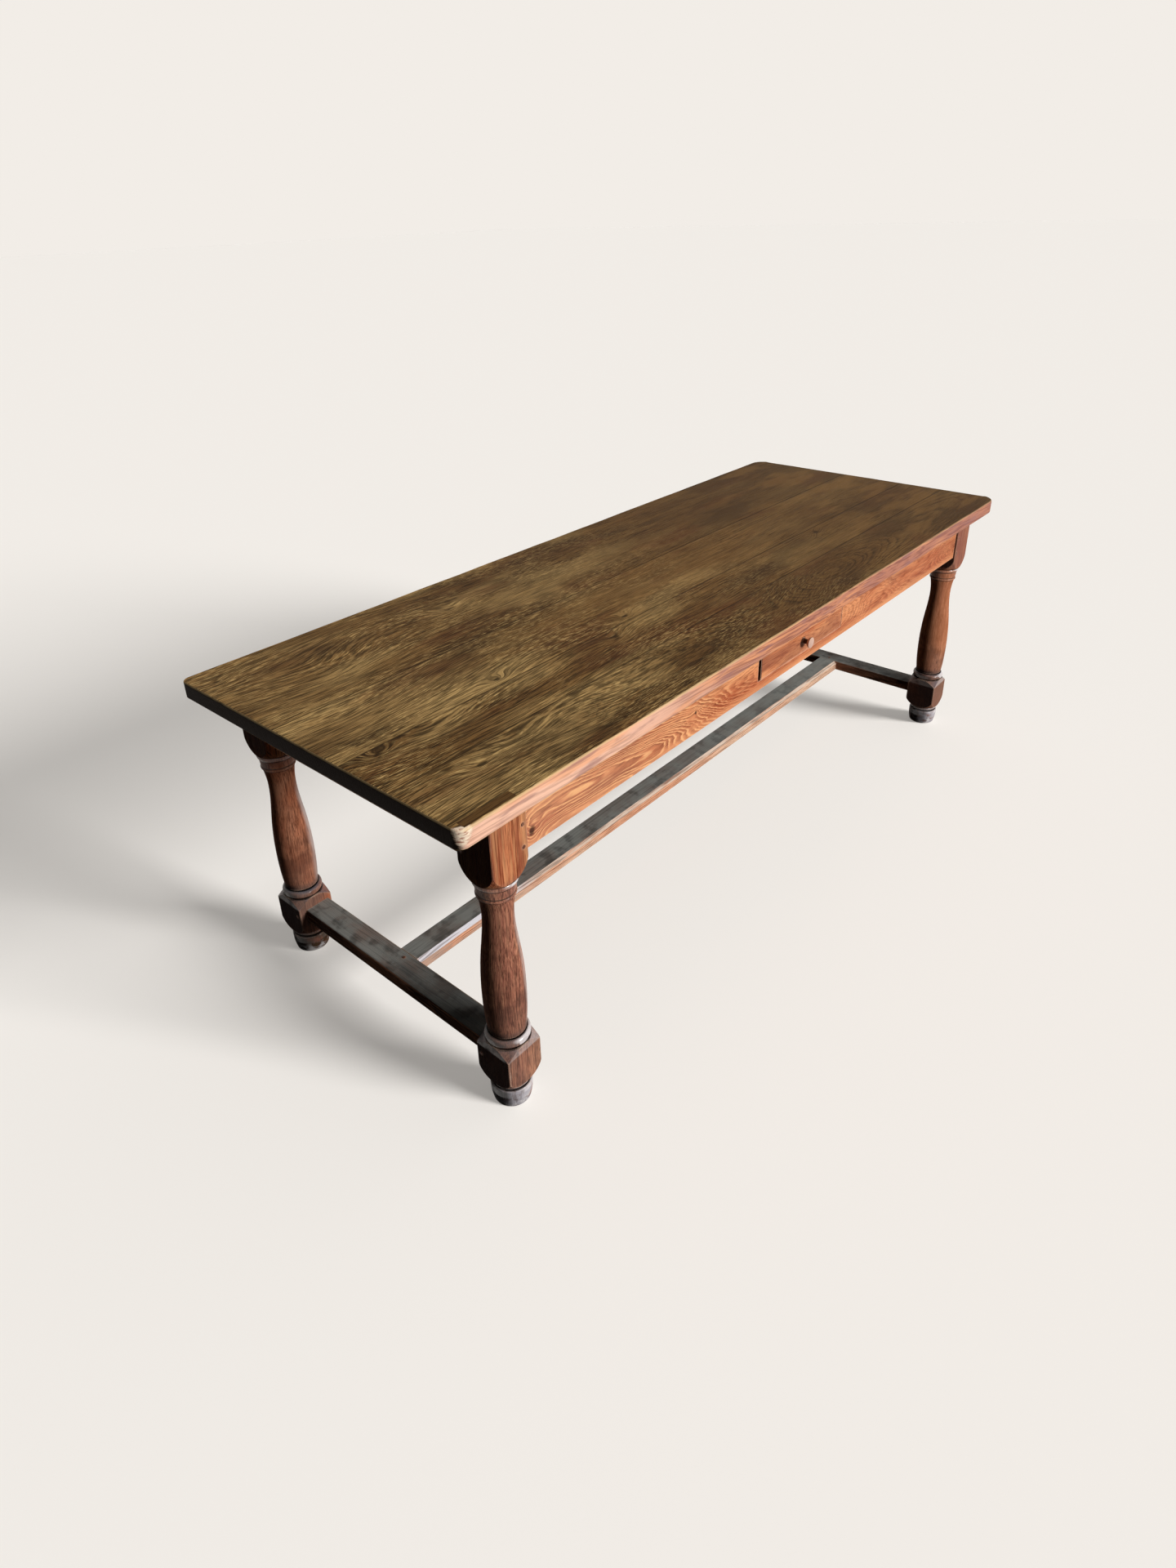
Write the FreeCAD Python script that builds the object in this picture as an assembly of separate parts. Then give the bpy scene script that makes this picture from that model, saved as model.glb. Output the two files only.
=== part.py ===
import FreeCAD, Part
import math
import os

# A long oak farmhouse table with turned legs, low stretchers and one drawer.
# Sizes are in millimetres. X runs along the table, Y across it and Z up.
# The origin is on the floor under the middle of the top. The drawer side is -Y, the left end -X.

# Top
table_length = 2290.0
table_width = 866.0
table_height = 760.0
top_thickness = 39.0
top_corner_radius = 20.0
top_upper_round = 5.0
top_lower_round = 3.0
front_board_width = 176.0
second_board_width = 139.0
third_board_width = 208.0
joint_arris = 0.8
tongue_thickness = 8.0
tongue_reach = 12.0
tongue_end_stop = 70.0
tongue_fit = 0.2

# Patch let into the front left corner of the top
patch_length = 116.0
patch_width = 19.0
patch_depth = 10.0
patch_front_inset = 6.0
patch_end_inset = 18.0
patch_fit = 0.2

# Legs: a square blank, turned between an upper and a lower block
leg_square = 90.0
leg_arris = 1.5
leg_end_overhang = 95.0
leg_side_overhang = 38.0
foot_floor_radius = 39.0
foot_radius = 43.0
foot_height = 48.0
foot_round = 4.0
foot_swell = 1.5
foot_groove_radius = 37.5
foot_groove_height = 3.0
foot_ring_radius = 41.0
foot_ring_height = 9.0
block_below = 31.0
block_above = 23.0
low_shoulder_bow = 4.5
cone_height = 20.0
cone_radius = 45.5
ring_radius = 46.5
ring_root_radius = 40.0
ring_height = 20.0
groove_radius = 36.5
groove_height = 3.0
base_radius = 38.5
belly_radius = 43.6
belly_level = 276.0
taper_radius = 38.9
neck_radius = 30.5
neck_level = 473.0
collar_radius = 36.0
collar_ring_radius = 39.0
collar_ring_height = 8.0
band_low_radius = 37.5
band_high_radius = 40.0
band_height = 20.0
bead_radius = 44.0
bead_root_radius = 41.0
bead_height = 12.0
shoulder_radius = 44.5
shoulder_height = 41.0
shoulder_bow = 3.5
upper_block_drop = 5.0

# Aprons and their pegged tenons
apron_height = 118.0
apron_thickness = 28.0
apron_setback = 6.0
apron_arris = 1.5
apron_tenon_thickness = 12.0
apron_tenon_length = 52.0
apron_tenon_foot = 4.0
apron_tenon_haunch = 26.0
joint_fit = 0.1
peg_diameter = 8.0
peg_proud = 0.8
peg_chamfer = 0.8
peg_fit = 0.1
apron_peg_inset = 11.0
apron_peg_rise = 14.0
apron_peg_spacing = 48.0
apron_peg_depth = 42.0

# Stretchers
stretcher_level = 123.0
stretcher_thickness = 30.0
end_stretcher_width = 64.0
end_stretcher_shift = 4.0
stretcher_outer_round = 6.0
stretcher_inner_round = 2.0
long_stretcher_width = 70.0
long_stretcher_chamfer = 8.0
stretcher_tenon_thickness = 14.0
stretcher_tenon_width = 44.0
end_stretcher_tenon_length = 48.0
long_stretcher_tenon_length = 40.0
stretcher_peg_inset = 12.0
stretcher_peg_depth = 84.0
long_peg_inset = 15.0
long_peg_depth = 26.0

# Drawer opening in the front apron
opening_offset = 14.0
opening_width = 404.0
opening_height = 62.0
drawer_rail_height = 25.0

# Drawer
drawer_left_gap = 11.0
drawer_right_gap = 2.0
drawer_top_gap = 1.5
drawer_run_gap = 0.3
drawer_depth = 420.0
drawer_front_thickness = 20.0
drawer_front_lap = 6.0
drawer_side_thickness = 12.0
drawer_side_drop = 2.0
drawer_back_thickness = 12.0
drawer_back_drop = 4.0
drawer_bottom_thickness = 7.0
drawer_bottom_rise = 8.0
drawer_groove_depth = 6.0
drawer_groove_fit = 0.2
tail_slope = 1.0 / 6.0
tail_share = 0.14

# Knob
knob_diameter = 27.0
knob_projection = 24.0
knob_head_thickness = 11.0
knob_dome = 3.0
knob_neck_diameter = 12.0
knob_base_diameter = 19.0
knob_base_thickness = 4.0
knob_spigot_diameter = 10.0
knob_fit = 0.1

# Drawer carriage under the top
runner_width = 40.0
runner_height = 20.0
runner_lip = 3.0
runner_tenon_length = 12.0
runner_tenon_width = 24.0
runner_tenon_height = 12.0
guide_gap = 1.0
guide_height = 20.0
kicker_width = 26.0
carriage_tail = 22.0
stop_width = 20.0
stop_height = 14.0
stop_gap = 0.3

# Buttons that hold the top down, and metal fixings
button_length = 42.0
button_width = 28.0
button_thickness = 22.0
button_tongue = 10.0
button_tongue_thickness = 10.0
button_slot_play = 3.0
button_gap = 0.5
button_leg_gap = 160.0
end_button_spread = 300.0
screw_diameter = 4.4
screw_head_diameter = 9.0
screw_head_height = 3.4
screw_slot_width = 1.2
screw_slot_depth = 1.0
screw_bite = 12.0
screw_fit = 0.1
kicker_screw_inset = 60.0
nail_diameter = 2.4
nail_head_diameter = 5.0
nail_head_height = 1.0
nail_bite = 14.0
nail_fit = 0.1
guide_nail_inset = 50.0
bottom_nail_inset = 40.0

# Places worked out from the sizes above
half_length = table_length / 2
half_width = table_width / 2
top_under = table_height - top_thickness
tongue_level = table_height - top_thickness / 2
leg_x = half_length - leg_end_overhang - leg_square / 2
leg_y = half_width - leg_side_overhang - leg_square / 2
leg_inner_x = leg_x - leg_square / 2
leg_inner_y = leg_y - leg_square / 2
leg_outer_x = leg_x + leg_square / 2
leg_outer_y = leg_y + leg_square / 2
blank_radius = leg_square / math.sqrt(2)
apron_bottom = top_under - apron_height
long_apron_outer = leg_outer_y - apron_setback
long_apron_inner = long_apron_outer - apron_thickness
end_apron_outer = leg_outer_x - apron_setback
end_apron_inner = end_apron_outer - apron_thickness
apron_tenon_low = apron_bottom + apron_tenon_foot
apron_tenon_high = top_under - apron_tenon_haunch
apron_peg_levels = [apron_bottom + apron_peg_rise + step * apron_peg_spacing for step in range(2)]
stretcher_low = stretcher_level - stretcher_thickness / 2
stretcher_high = stretcher_level + stretcher_thickness / 2
end_stretcher_x = leg_x - end_stretcher_shift
end_stretcher_inner = end_stretcher_x - end_stretcher_width / 2
opening_left = opening_offset - opening_width / 2
opening_right = opening_offset + opening_width / 2
opening_low = apron_bottom + drawer_rail_height
opening_high = opening_low + opening_height
drawer_left = opening_left + drawer_left_gap
drawer_right = opening_right - drawer_right_gap
drawer_middle = (drawer_left + drawer_right) / 2
drawer_low = opening_low + drawer_run_gap
drawer_high = opening_high - drawer_top_gap
drawer_face = -long_apron_outer
drawer_front_inner = drawer_face + drawer_front_thickness
drawer_end = drawer_face + drawer_depth
drawer_back_inner = drawer_end - drawer_back_thickness
drawer_side_high = drawer_high - drawer_side_drop
drawer_bottom_low = drawer_low + drawer_bottom_rise
drawer_bottom_high = drawer_bottom_low + drawer_bottom_thickness
drawer_back_high = drawer_side_high - drawer_back_drop
carriage_end = drawer_end + carriage_tail
quarter_sag = 1 - math.cos(math.radians(45))

V = FreeCAD.Vector
ENDS = (-1, 1)
SIDES = (-1, 1)


def block(x0, y0, z0, x1, y1, z1):
    """A box between two opposite corners, given in any order."""
    corner = V(min(x0, x1), min(y0, y1), min(z0, z1))
    return Part.makeBox(abs(x1 - x0), abs(y1 - y0), abs(z1 - z0), corner)


def grown(shape_box, margin):
    """The bounding box of a boxy shape, larger by a margin on every side."""
    b = shape_box.BoundBox
    return block(b.XMin - margin, b.YMin - margin, b.ZMin - margin,
                 b.XMax + margin, b.YMax + margin, b.ZMax + margin)


def edges_where(shape, test):
    """The edges whose two end points both pass a test."""
    return [e for e in shape.Edges if all(test(v.Point) for v in e.Vertexes)]


def near(a, b):
    return abs(a - b) < 1e-6


def join(shapes):
    """One clean solid from pieces that share faces."""
    return shapes[0].multiFuse(shapes[1:]).removeSplitter()


def placed(shape, point, direction):
    """A copy of a shape made along +Z, moved to a point and turned to a direction."""
    copy = shape.copy()
    copy.Placement = FreeCAD.Placement(point, FreeCAD.Rotation(V(0, 0, 1), direction))
    return copy


class Outline:
    """Half of a turned shape, drawn from the bottom of its axis to the top."""

    def __init__(self, radius, height):
        self.start = V(radius, 0, height)
        self.at = self.start
        self.edges = []

    def line(self, radius, height):
        end = V(radius, 0, height)
        self.edges.append(Part.makeLine(self.at, end))
        self.at = end

    def bow(self, radius, height, sag):
        """An arc that stands out from its chord by sag, or in where sag is negative."""
        end = V(radius, 0, height)
        chord = end - self.at
        outward = V(chord.z, 0, -chord.x).normalize()
        middle = (self.at + end) * 0.5 + outward * sag
        self.edges.append(Part.Arc(self.at, middle, end).toShape())
        self.at = end

    def dome(self, height):
        """A ball-shaped cap from here up to the axis."""
        rise = height - self.at.z
        radius = (self.at.x ** 2 + rise ** 2) / (2 * rise)
        centre = height - radius
        half_turn = math.atan2(self.at.x, self.at.z - centre) / 2
        middle = V(radius * math.sin(half_turn), 0, centre + radius * math.cos(half_turn))
        end = V(0, 0, height)
        self.edges.append(Part.Arc(self.at, middle, end).toShape())
        self.at = end

    def curve(self, points):
        """A smooth curve through the points that follow."""
        path = [self.at] + [V(radius, 0, height) for radius, height in points]
        spline = Part.BSplineCurve()
        spline.interpolate(path)
        self.edges.append(spline.toShape())
        self.at = path[-1]

    def turned(self):
        """The solid made by turning the outline round the Z axis."""
        if self.at.x > 0:
            self.line(0, self.at.z)
        self.edges.append(Part.makeLine(self.at, self.start))
        face = Part.Face(Part.Wire(self.edges))
        return face.revolve(V(0, 0, 0), V(0, 0, 1), 360)


# Legs

def leg_outline():
    """The turning of one leg from the floor to the underside of the top."""
    o = Outline(0, 0)
    foot_outline(o)
    z = foot_height + foot_groove_height + foot_ring_height
    o.line(foot_ring_radius, z)
    o.bow(blank_radius, stretcher_level - block_below, low_shoulder_bow)
    o.line(blank_radius, stretcher_level + block_above)
    baluster_outline(o)
    o.line(shoulder_radius, o.at.z)
    o.bow(blank_radius, o.at.z + shoulder_height, shoulder_bow)
    o.line(blank_radius, top_under)
    return o


def foot_outline(o):
    """A swelling drum on the floor with a groove and a thin ring over it."""
    o.line(foot_floor_radius - foot_round, 0)
    o.bow(foot_floor_radius, foot_round, quarter_sag * foot_round)
    o.bow(foot_radius, foot_height - foot_round, foot_swell)
    o.bow(foot_radius - foot_round, foot_height, quarter_sag * foot_round)
    o.line(foot_groove_radius, foot_height)
    ring_low = foot_height + foot_groove_height
    o.line(foot_groove_radius, ring_low)
    o.bow(foot_groove_radius, ring_low + foot_ring_height, foot_ring_radius - foot_groove_radius)


def baluster_outline(o):
    """Cone, ring and groove over the lower block, the long baluster, then the collar."""
    cone_top = o.at.z + cone_height
    o.line(cone_radius, cone_top)
    o.line(ring_root_radius, cone_top)
    o.bow(ring_root_radius, cone_top + ring_height, ring_radius - ring_root_radius)
    o.line(groove_radius, o.at.z)
    o.line(groove_radius, o.at.z + groove_height)
    o.line(base_radius, o.at.z)
    bead_top = apron_bottom - upper_block_drop - shoulder_height
    band_top = bead_top - bead_height
    band_low = band_top - band_height
    collar_low = band_low - collar_ring_height
    o.curve([(belly_radius, belly_level),
             (taper_radius, (belly_level + neck_level) / 2),
             (neck_radius, neck_level),
             (collar_radius, collar_low)])
    o.bow(collar_radius, band_low, collar_ring_radius - collar_radius)
    o.line(band_low_radius, band_low)
    o.line(band_high_radius, band_top)
    o.bow(bead_root_radius, bead_top, bead_radius - bead_root_radius)


def leg_blank():
    """The square bar with its four arrises taken off."""
    h = leg_square / 2
    c = h - leg_arris
    corners = [(h, -c), (h, c), (c, h), (-c, h), (-h, c), (-h, -c), (-c, -h), (c, -h)]
    ring = Part.makePolygon([V(x, y, 0) for x, y in corners + corners[:1]])
    return Part.Face(ring).extrude(V(0, 0, top_under))


def leg(turned_bar, end, side):
    """One leg in its corner, with its mortises and peg holes."""
    shape = turned_bar.copy()
    shape.translate(V(end * leg_x, side * leg_y, 0))
    tenons = (long_apron_tenon, end_apron_tenon, end_stretcher_tenon)
    mortises = [tenon(end, side, joint_fit) for tenon in tenons]
    places = apron_peg_places(end, side) + [stretcher_peg_place(end, side)]
    return shape.cut(mortises + [peg_hole(*place) for place in places])


# Tenons, or their pockets where room is given

def long_apron_tenon(end, side, room=0.0):
    middle = side * (long_apron_outer + long_apron_inner) / 2
    half = apron_tenon_thickness / 2 + room
    return block(end * leg_inner_x, middle - half, apron_tenon_low - room,
                 end * (leg_inner_x + apron_tenon_length + room), middle + half, apron_tenon_high + room)


def end_apron_tenon(end, side, room=0.0):
    middle = end * (end_apron_outer + end_apron_inner) / 2
    half = apron_tenon_thickness / 2 + room
    return block(middle - half, side * leg_inner_y, apron_tenon_low - room,
                 middle + half, side * (leg_inner_y + apron_tenon_length + room), apron_tenon_high + room)


def end_stretcher_tenon(end, side, room=0.0):
    middle = end * end_stretcher_x
    half_width_here = stretcher_tenon_width / 2 + room
    half_depth = stretcher_tenon_thickness / 2 + room
    return block(middle - half_width_here, side * leg_inner_y, stretcher_level - half_depth,
                 middle + half_width_here, side * (leg_inner_y + end_stretcher_tenon_length + room),
                 stretcher_level + half_depth)


def long_stretcher_tenon(end, room=0.0):
    half_width_here = stretcher_tenon_width / 2 + room
    half_depth = stretcher_tenon_thickness / 2 + room
    return block(end * end_stretcher_inner, -half_width_here, stretcher_level - half_depth,
                 end * (end_stretcher_inner + long_stretcher_tenon_length + room), half_width_here,
                 stretcher_level + half_depth)


# Pegs: each place is a point on a face, the direction driven and the depth

def peg(point, inward, depth):
    """A round peg driven in from a face, its chamfered end a little proud."""
    r = peg_diameter / 2
    o = Outline(0, -peg_proud)
    o.line(r - peg_chamfer, -peg_proud)
    o.line(r, peg_chamfer - peg_proud)
    o.line(r, depth)
    return placed(o.turned(), point, inward)


def peg_hole(point, inward, depth):
    """A hole a little wider and deeper than its peg, open past the face."""
    start = point - inward * peg_proud
    return Part.makeCylinder(peg_diameter / 2 + peg_fit, depth + peg_proud + peg_fit, start, inward)


def apron_peg_places(end, side):
    """Two pegs through the long apron's tenon and two through the end apron's."""
    places = []
    for level in apron_peg_levels:
        long_point = V(end * (leg_inner_x + apron_peg_inset), side * leg_outer_y, level)
        places.append((long_point, V(0, -side, 0), apron_peg_depth))
        end_point = V(end * leg_outer_x, side * (leg_inner_y + apron_peg_inset), level)
        places.append((end_point, V(-end, 0, 0), apron_peg_depth))
    return places


def stretcher_peg_place(end, side):
    point = V(end * leg_outer_x, side * (leg_inner_y + stretcher_peg_inset), stretcher_level)
    return point, V(-end, 0, 0), stretcher_peg_depth


def long_peg_place(end):
    point = V(end * (end_stretcher_inner + long_peg_inset), 0, stretcher_high)
    return point, V(0, 0, -1), long_peg_depth


# Aprons

def eased_board(x0, y0, x1, y1):
    """An apron board with its two lower arrises rounded."""
    board = block(x0, y0, apron_bottom, x1, y1, top_under)
    lower = edges_where(board, lambda p: near(p.z, apron_bottom))
    lower.sort(key=lambda e: e.Length)
    return board.makeFillet(apron_arris, lower[-2:])


def long_apron(side):
    board = eased_board(-leg_inner_x, side * long_apron_inner, leg_inner_x, side * long_apron_outer)
    whole = join([board] + [long_apron_tenon(end, side) for end in ENDS])
    holes = [peg_hole(*place) for end in ENDS for place in apron_peg_places(end, side)]
    return whole.cut(holes + button_slots(side_buttons(side)) + runner_mortises(side))


def front_apron():
    opening = block(opening_left, -long_apron_outer, opening_low, opening_right, -long_apron_inner, opening_high)
    return long_apron(-1).cut(opening)


def end_apron(end):
    board = eased_board(end * end_apron_inner, -leg_inner_y, end * end_apron_outer, leg_inner_y)
    whole = join([board] + [end_apron_tenon(end, side) for side in SIDES])
    holes = [peg_hole(*place) for side in SIDES for place in apron_peg_places(end, side)]
    return whole.cut(holes + button_slots(end_buttons(end)))


# Stretchers

def end_stretcher(end):
    """A flat board between two lower blocks, its outer top arris worn round."""
    outer = end * (end_stretcher_x + end_stretcher_width / 2)
    inner = end * end_stretcher_inner
    board = block(inner, -leg_inner_y, stretcher_low, outer, leg_inner_y, stretcher_high)
    worn = edges_where(board, lambda p: near(p.x, outer) and near(p.z, stretcher_high))
    board = board.makeFillet(stretcher_outer_round, worn)
    eased = edges_where(board, lambda p: near(p.x, inner) and near(p.z, stretcher_high))
    board = board.makeFillet(stretcher_inner_round, eased)
    whole = join([board] + [end_stretcher_tenon(end, side) for side in SIDES])
    places = [stretcher_peg_place(end, side) for side in SIDES] + [long_peg_place(end)]
    return whole.cut([peg_hole(*place) for place in places] + [long_stretcher_tenon(end, joint_fit)])


def long_stretcher():
    """The middle board along the table, chamfered on both upper arrises."""
    half = long_stretcher_width / 2
    board = block(-end_stretcher_inner, -half, stretcher_low, end_stretcher_inner, half, stretcher_high)
    upper = edges_where(board, lambda p: near(p.z, stretcher_high))
    upper.sort(key=lambda e: e.Length)
    board = board.makeChamfer(long_stretcher_chamfer, upper[-2:])
    whole = join([board] + [long_stretcher_tenon(end) for end in ENDS])
    return whole.cut([peg_hole(*long_peg_place(end)) for end in ENDS])


# Top

def board_joints():
    """The three lines across the table where neighbouring boards meet."""
    first = -half_width + front_board_width
    second = first + second_board_width
    return [first, second, second + third_board_width]


def top_slab():
    """The whole top with rounded corners and arrises."""
    slab = block(-half_length, -half_width, top_under, half_length, half_width, table_height)
    slab = slab.makeFillet(top_corner_radius, [e for e in slab.Edges if near(e.Length, top_thickness)])
    slab = slab.makeFillet(top_upper_round, edges_where(slab, lambda p: near(p.z, table_height)))
    return slab.makeFillet(top_lower_round, edges_where(slab, lambda p: near(p.z, top_under)))


def joint_groove(y):
    """The fine V along a board joint in the top's surface."""
    points = [V(-table_length, y - joint_arris, table_height), V(-table_length, y + joint_arris, table_height),
              V(-table_length, y, table_height - joint_arris)]
    return Part.Face(Part.makePolygon(points + points[:1])).extrude(V(2 * table_length, 0, 0))


def board_tongue(y):
    """A loose tongue bridging one board joint, stopped short of both ends."""
    reach = half_length - tongue_end_stop
    return block(-reach, y - tongue_reach, tongue_level - tongue_thickness / 2,
                 reach, y + tongue_reach, tongue_level + tongue_thickness / 2)


def edge_patch():
    left = -half_length + patch_end_inset
    front = -half_width + patch_front_inset
    return block(left, front, table_height - patch_depth, left + patch_length, front + patch_width, table_height)


def patch_pocket():
    b = edge_patch().BoundBox
    return block(b.XMin - patch_fit, b.YMin - patch_fit, b.ZMin,
                 b.XMax + patch_fit, b.YMax + patch_fit, b.ZMax + patch_fit)


def top_boards():
    """The four boards of the top, from the drawer side to the back."""
    joints = board_joints()
    limits = [-half_width] + joints + [half_width]
    slab = top_slab()
    grooves = [joint_groove(y) for y in joints] + [grown(board_tongue(y), tongue_fit) for y in joints]
    screw_places = button_screw_places() + kicker_screw_places(-1) + kicker_screw_places(1)
    cuts = grooves + [patch_pocket()] + [screw_hole(*place) for place in screw_places]
    strips = [block(-half_length, low, top_under, half_length, high, table_height)
              for low, high in zip(limits, limits[1:])]
    return [slab.common(strip).cut(cuts) for strip in strips]


# Screws and nails: each place is a point on a face, the direction driven and the length

def screw(point, direction, length):
    """A slotted countersunk screw with a pointed end."""
    head = screw_head_diameter / 2
    shank = screw_diameter / 2
    o = Outline(0, 0)
    o.line(head, 0)
    o.line(shank, screw_head_height)
    o.line(shank, length - screw_diameter)
    o.line(0, length)
    slot = block(-head, -screw_slot_width / 2, 0, head, screw_slot_width / 2, screw_slot_depth)
    return placed(o.turned().cut(slot), point, direction)


def screw_hole(point, direction, length):
    """The countersunk hole for a screw, a slip fit wider all round."""
    o = Outline(0, -screw_fit)
    o.line(screw_head_diameter / 2 + screw_fit, -screw_fit)
    o.line(screw_head_diameter / 2 + screw_fit, 0)
    o.line(screw_diameter / 2 + screw_fit, screw_head_height)
    o.line(screw_diameter / 2 + screw_fit, length + screw_fit)
    return placed(o.turned(), point, direction)


def nail(point, direction, length):
    """A flat-headed nail whose head is let in flush with the face it enters."""
    o = Outline(0, 0)
    o.line(nail_head_diameter / 2, 0)
    o.line(nail_head_diameter / 2, nail_head_height)
    o.line(nail_diameter / 2, nail_head_height)
    o.line(nail_diameter / 2, length)
    return placed(o.turned(), point, direction)


def nail_hole(point, direction, length):
    """The stepped hole for a nail, a slip fit wider round its head and shank."""
    o = Outline(0, -nail_fit)
    o.line(nail_head_diameter / 2 + nail_fit, -nail_fit)
    o.line(nail_head_diameter / 2 + nail_fit, nail_head_height)
    o.line(nail_diameter / 2 + nail_fit, nail_head_height)
    o.line(nail_diameter / 2 + nail_fit, length + nail_fit)
    return placed(o.turned(), point, direction)


# Buttons under the top

def side_buttons(side):
    """Buttons along one long apron: point on its inner face and direction into it."""
    outer = leg_inner_x - button_leg_gap
    places = [-outer, (runner_outer(-1) - outer) / 2, (runner_outer(1) + outer) / 2, outer]
    return [(V(x, side * long_apron_inner, 0), side * 90) for x in places]


def end_buttons(end):
    places = [-end_button_spread / 2, end_button_spread / 2]
    return [(V(end * end_apron_inner, y, 0), 90 - end * 90) for y in places]


def all_buttons():
    return side_buttons(-1) + side_buttons(1) + end_buttons(-1) + end_buttons(1)


def at_button(shape, place):
    """Move a shape made along +X to a button's place."""
    point, angle = place
    moved = shape.copy()
    moved.rotate(V(0, 0, 0), V(0, 0, 1), angle)
    moved.translate(point)
    return moved


def top_button(place):
    """A stepped wooden block: its body lifts the top, its tongue sits in the apron's slot."""
    half = button_width / 2
    low = top_under - button_thickness
    body = block(-button_length, -half, low, -button_gap, half, top_under)
    tongue = block(-button_gap, -half, low, button_tongue, half, low + button_tongue_thickness)
    hole = screw_hole(V(-button_length / 2, 0, low), V(0, 0, 1), button_thickness + screw_bite)
    return at_button(join([body, tongue]).cut(hole), place)


def button_slots(places):
    half = button_width / 2 + button_slot_play
    low = top_under - button_thickness
    slot = block(-button_gap, -half, low - joint_fit, button_tongue + button_gap, half, low + button_tongue_thickness)
    return [at_button(slot, place) for place in places]


def button_screw_places():
    places = []
    for point, angle in all_buttons():
        back = FreeCAD.Rotation(V(0, 0, 1), angle).multVec(V(-button_length / 2, 0, 0))
        start = point + back + V(0, 0, top_under - button_thickness)
        places.append((start, V(0, 0, 1), button_thickness + screw_bite))
    return places


# Drawer carriage

def drawer_edge(hand):
    """The outer face of the drawer on one hand."""
    return drawer_right if hand > 0 else drawer_left


def runner_inner(hand):
    return drawer_edge(hand) - hand * (drawer_side_thickness + runner_lip)


def runner_outer(hand):
    return runner_inner(hand) + hand * runner_width


def runner_tenon(hand, side, room=0.0):
    """The stub that seats a runner in a long apron, or its pocket where room is given."""
    middle = (runner_inner(hand) + runner_outer(hand)) / 2
    level = opening_low - runner_height / 2
    return block(middle - runner_tenon_width / 2 - room, side * long_apron_inner,
                 level - runner_tenon_height / 2 - room,
                 middle + runner_tenon_width / 2 + room, side * (long_apron_inner + runner_tenon_length + room),
                 level + runner_tenon_height / 2 + room)


def runner_mortises(side):
    return [runner_tenon(hand, side, joint_fit) for hand in ENDS]


def drawer_runner(hand):
    """A rail from apron to apron that carries one side of the drawer."""
    rail = block(runner_inner(hand), -long_apron_inner, opening_low - runner_height,
                 runner_outer(hand), long_apron_inner, opening_low)
    whole = join([rail] + [runner_tenon(hand, side) for side in SIDES])
    return whole.cut([nail_hole(*place) for place in guide_nail_places(hand)])


def drawer_guide(hand):
    """A strip on the runner that keeps the drawer straight."""
    strip = block(drawer_edge(hand) + hand * guide_gap, -long_apron_inner, opening_low,
                  runner_outer(hand), carriage_end, opening_low + guide_height)
    return strip.cut([nail_hole(*place) for place in guide_nail_places(hand)])


def guide_nail_places(hand):
    x = (drawer_edge(hand) + hand * guide_gap + runner_outer(hand)) / 2
    top = opening_low + guide_height
    ends = [-long_apron_inner + guide_nail_inset, carriage_end - guide_nail_inset]
    return [(V(x, y, top), V(0, 0, -1), guide_height + nail_bite) for y in ends]


def drawer_kicker(hand):
    """A strip under the top that stops the open drawer from tipping."""
    inner = runner_inner(hand)
    strip = block(inner, -long_apron_inner, opening_high, inner + hand * kicker_width, carriage_end, top_under)
    return strip.cut([screw_hole(*place) for place in kicker_screw_places(hand)])


def kicker_screw_places(hand):
    x = runner_inner(hand) + hand * kicker_width / 2
    ends = [-long_apron_inner + kicker_screw_inset, carriage_end - kicker_screw_inset]
    return [(V(x, y, opening_high), V(0, 0, 1), top_under - opening_high + screw_bite) for y in ends]


def drawer_stop(hand):
    """A small block on the runner that the closed drawer comes up against."""
    inner = runner_inner(hand)
    outer = drawer_edge(hand) + hand * guide_gap
    return block(inner, drawer_end + stop_gap, opening_low, outer, drawer_end + stop_width, opening_low + stop_height)


# Drawer

def tail(hand, root, tip, level, half):
    """One dovetail on the end of a drawer side, wider at its tip."""
    flare = abs(tip - root) * tail_slope
    outer = drawer_edge(hand)
    points = [V(outer, root, level - half), V(outer, tip, level - half - flare),
              V(outer, tip, level + half + flare), V(outer, root, level + half)]
    return Part.Face(Part.makePolygon(points + points[:1])).extrude(V(-hand * drawer_side_thickness, 0, 0))


def tails(hand, root, tip, low, high):
    """Two dovetails at the quarter heights of a joint."""
    height = high - low
    return [tail(hand, root, tip, low + height * share, height * tail_share) for share in (0.25, 0.75)]


def dovetailed_side(hand):
    """A drawer side with its tails, before the groove for the bottom."""
    outer = drawer_edge(hand)
    panel = block(outer, drawer_front_inner, drawer_low, outer - hand * drawer_side_thickness,
                  drawer_back_inner, drawer_side_high)
    front_tails = tails(hand, drawer_front_inner, drawer_face + drawer_front_lap, drawer_low, drawer_side_high)
    back_tails = tails(hand, drawer_back_inner, drawer_end, drawer_bottom_high, drawer_back_high)
    return join([panel] + front_tails + back_tails)


def drawer_bottom(room=0.0):
    """The bottom panel, or the groove that holds it where room is given."""
    left = drawer_left + drawer_side_thickness - drawer_groove_depth
    right = drawer_right - drawer_side_thickness + drawer_groove_depth
    front = drawer_front_inner - drawer_groove_depth
    return block(left - room, front - room, drawer_bottom_low - room,
                 right + room, drawer_end, drawer_bottom_high)


def drawer_side(hand):
    return dovetailed_side(hand).cut(drawer_bottom(drawer_groove_fit))


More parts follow.
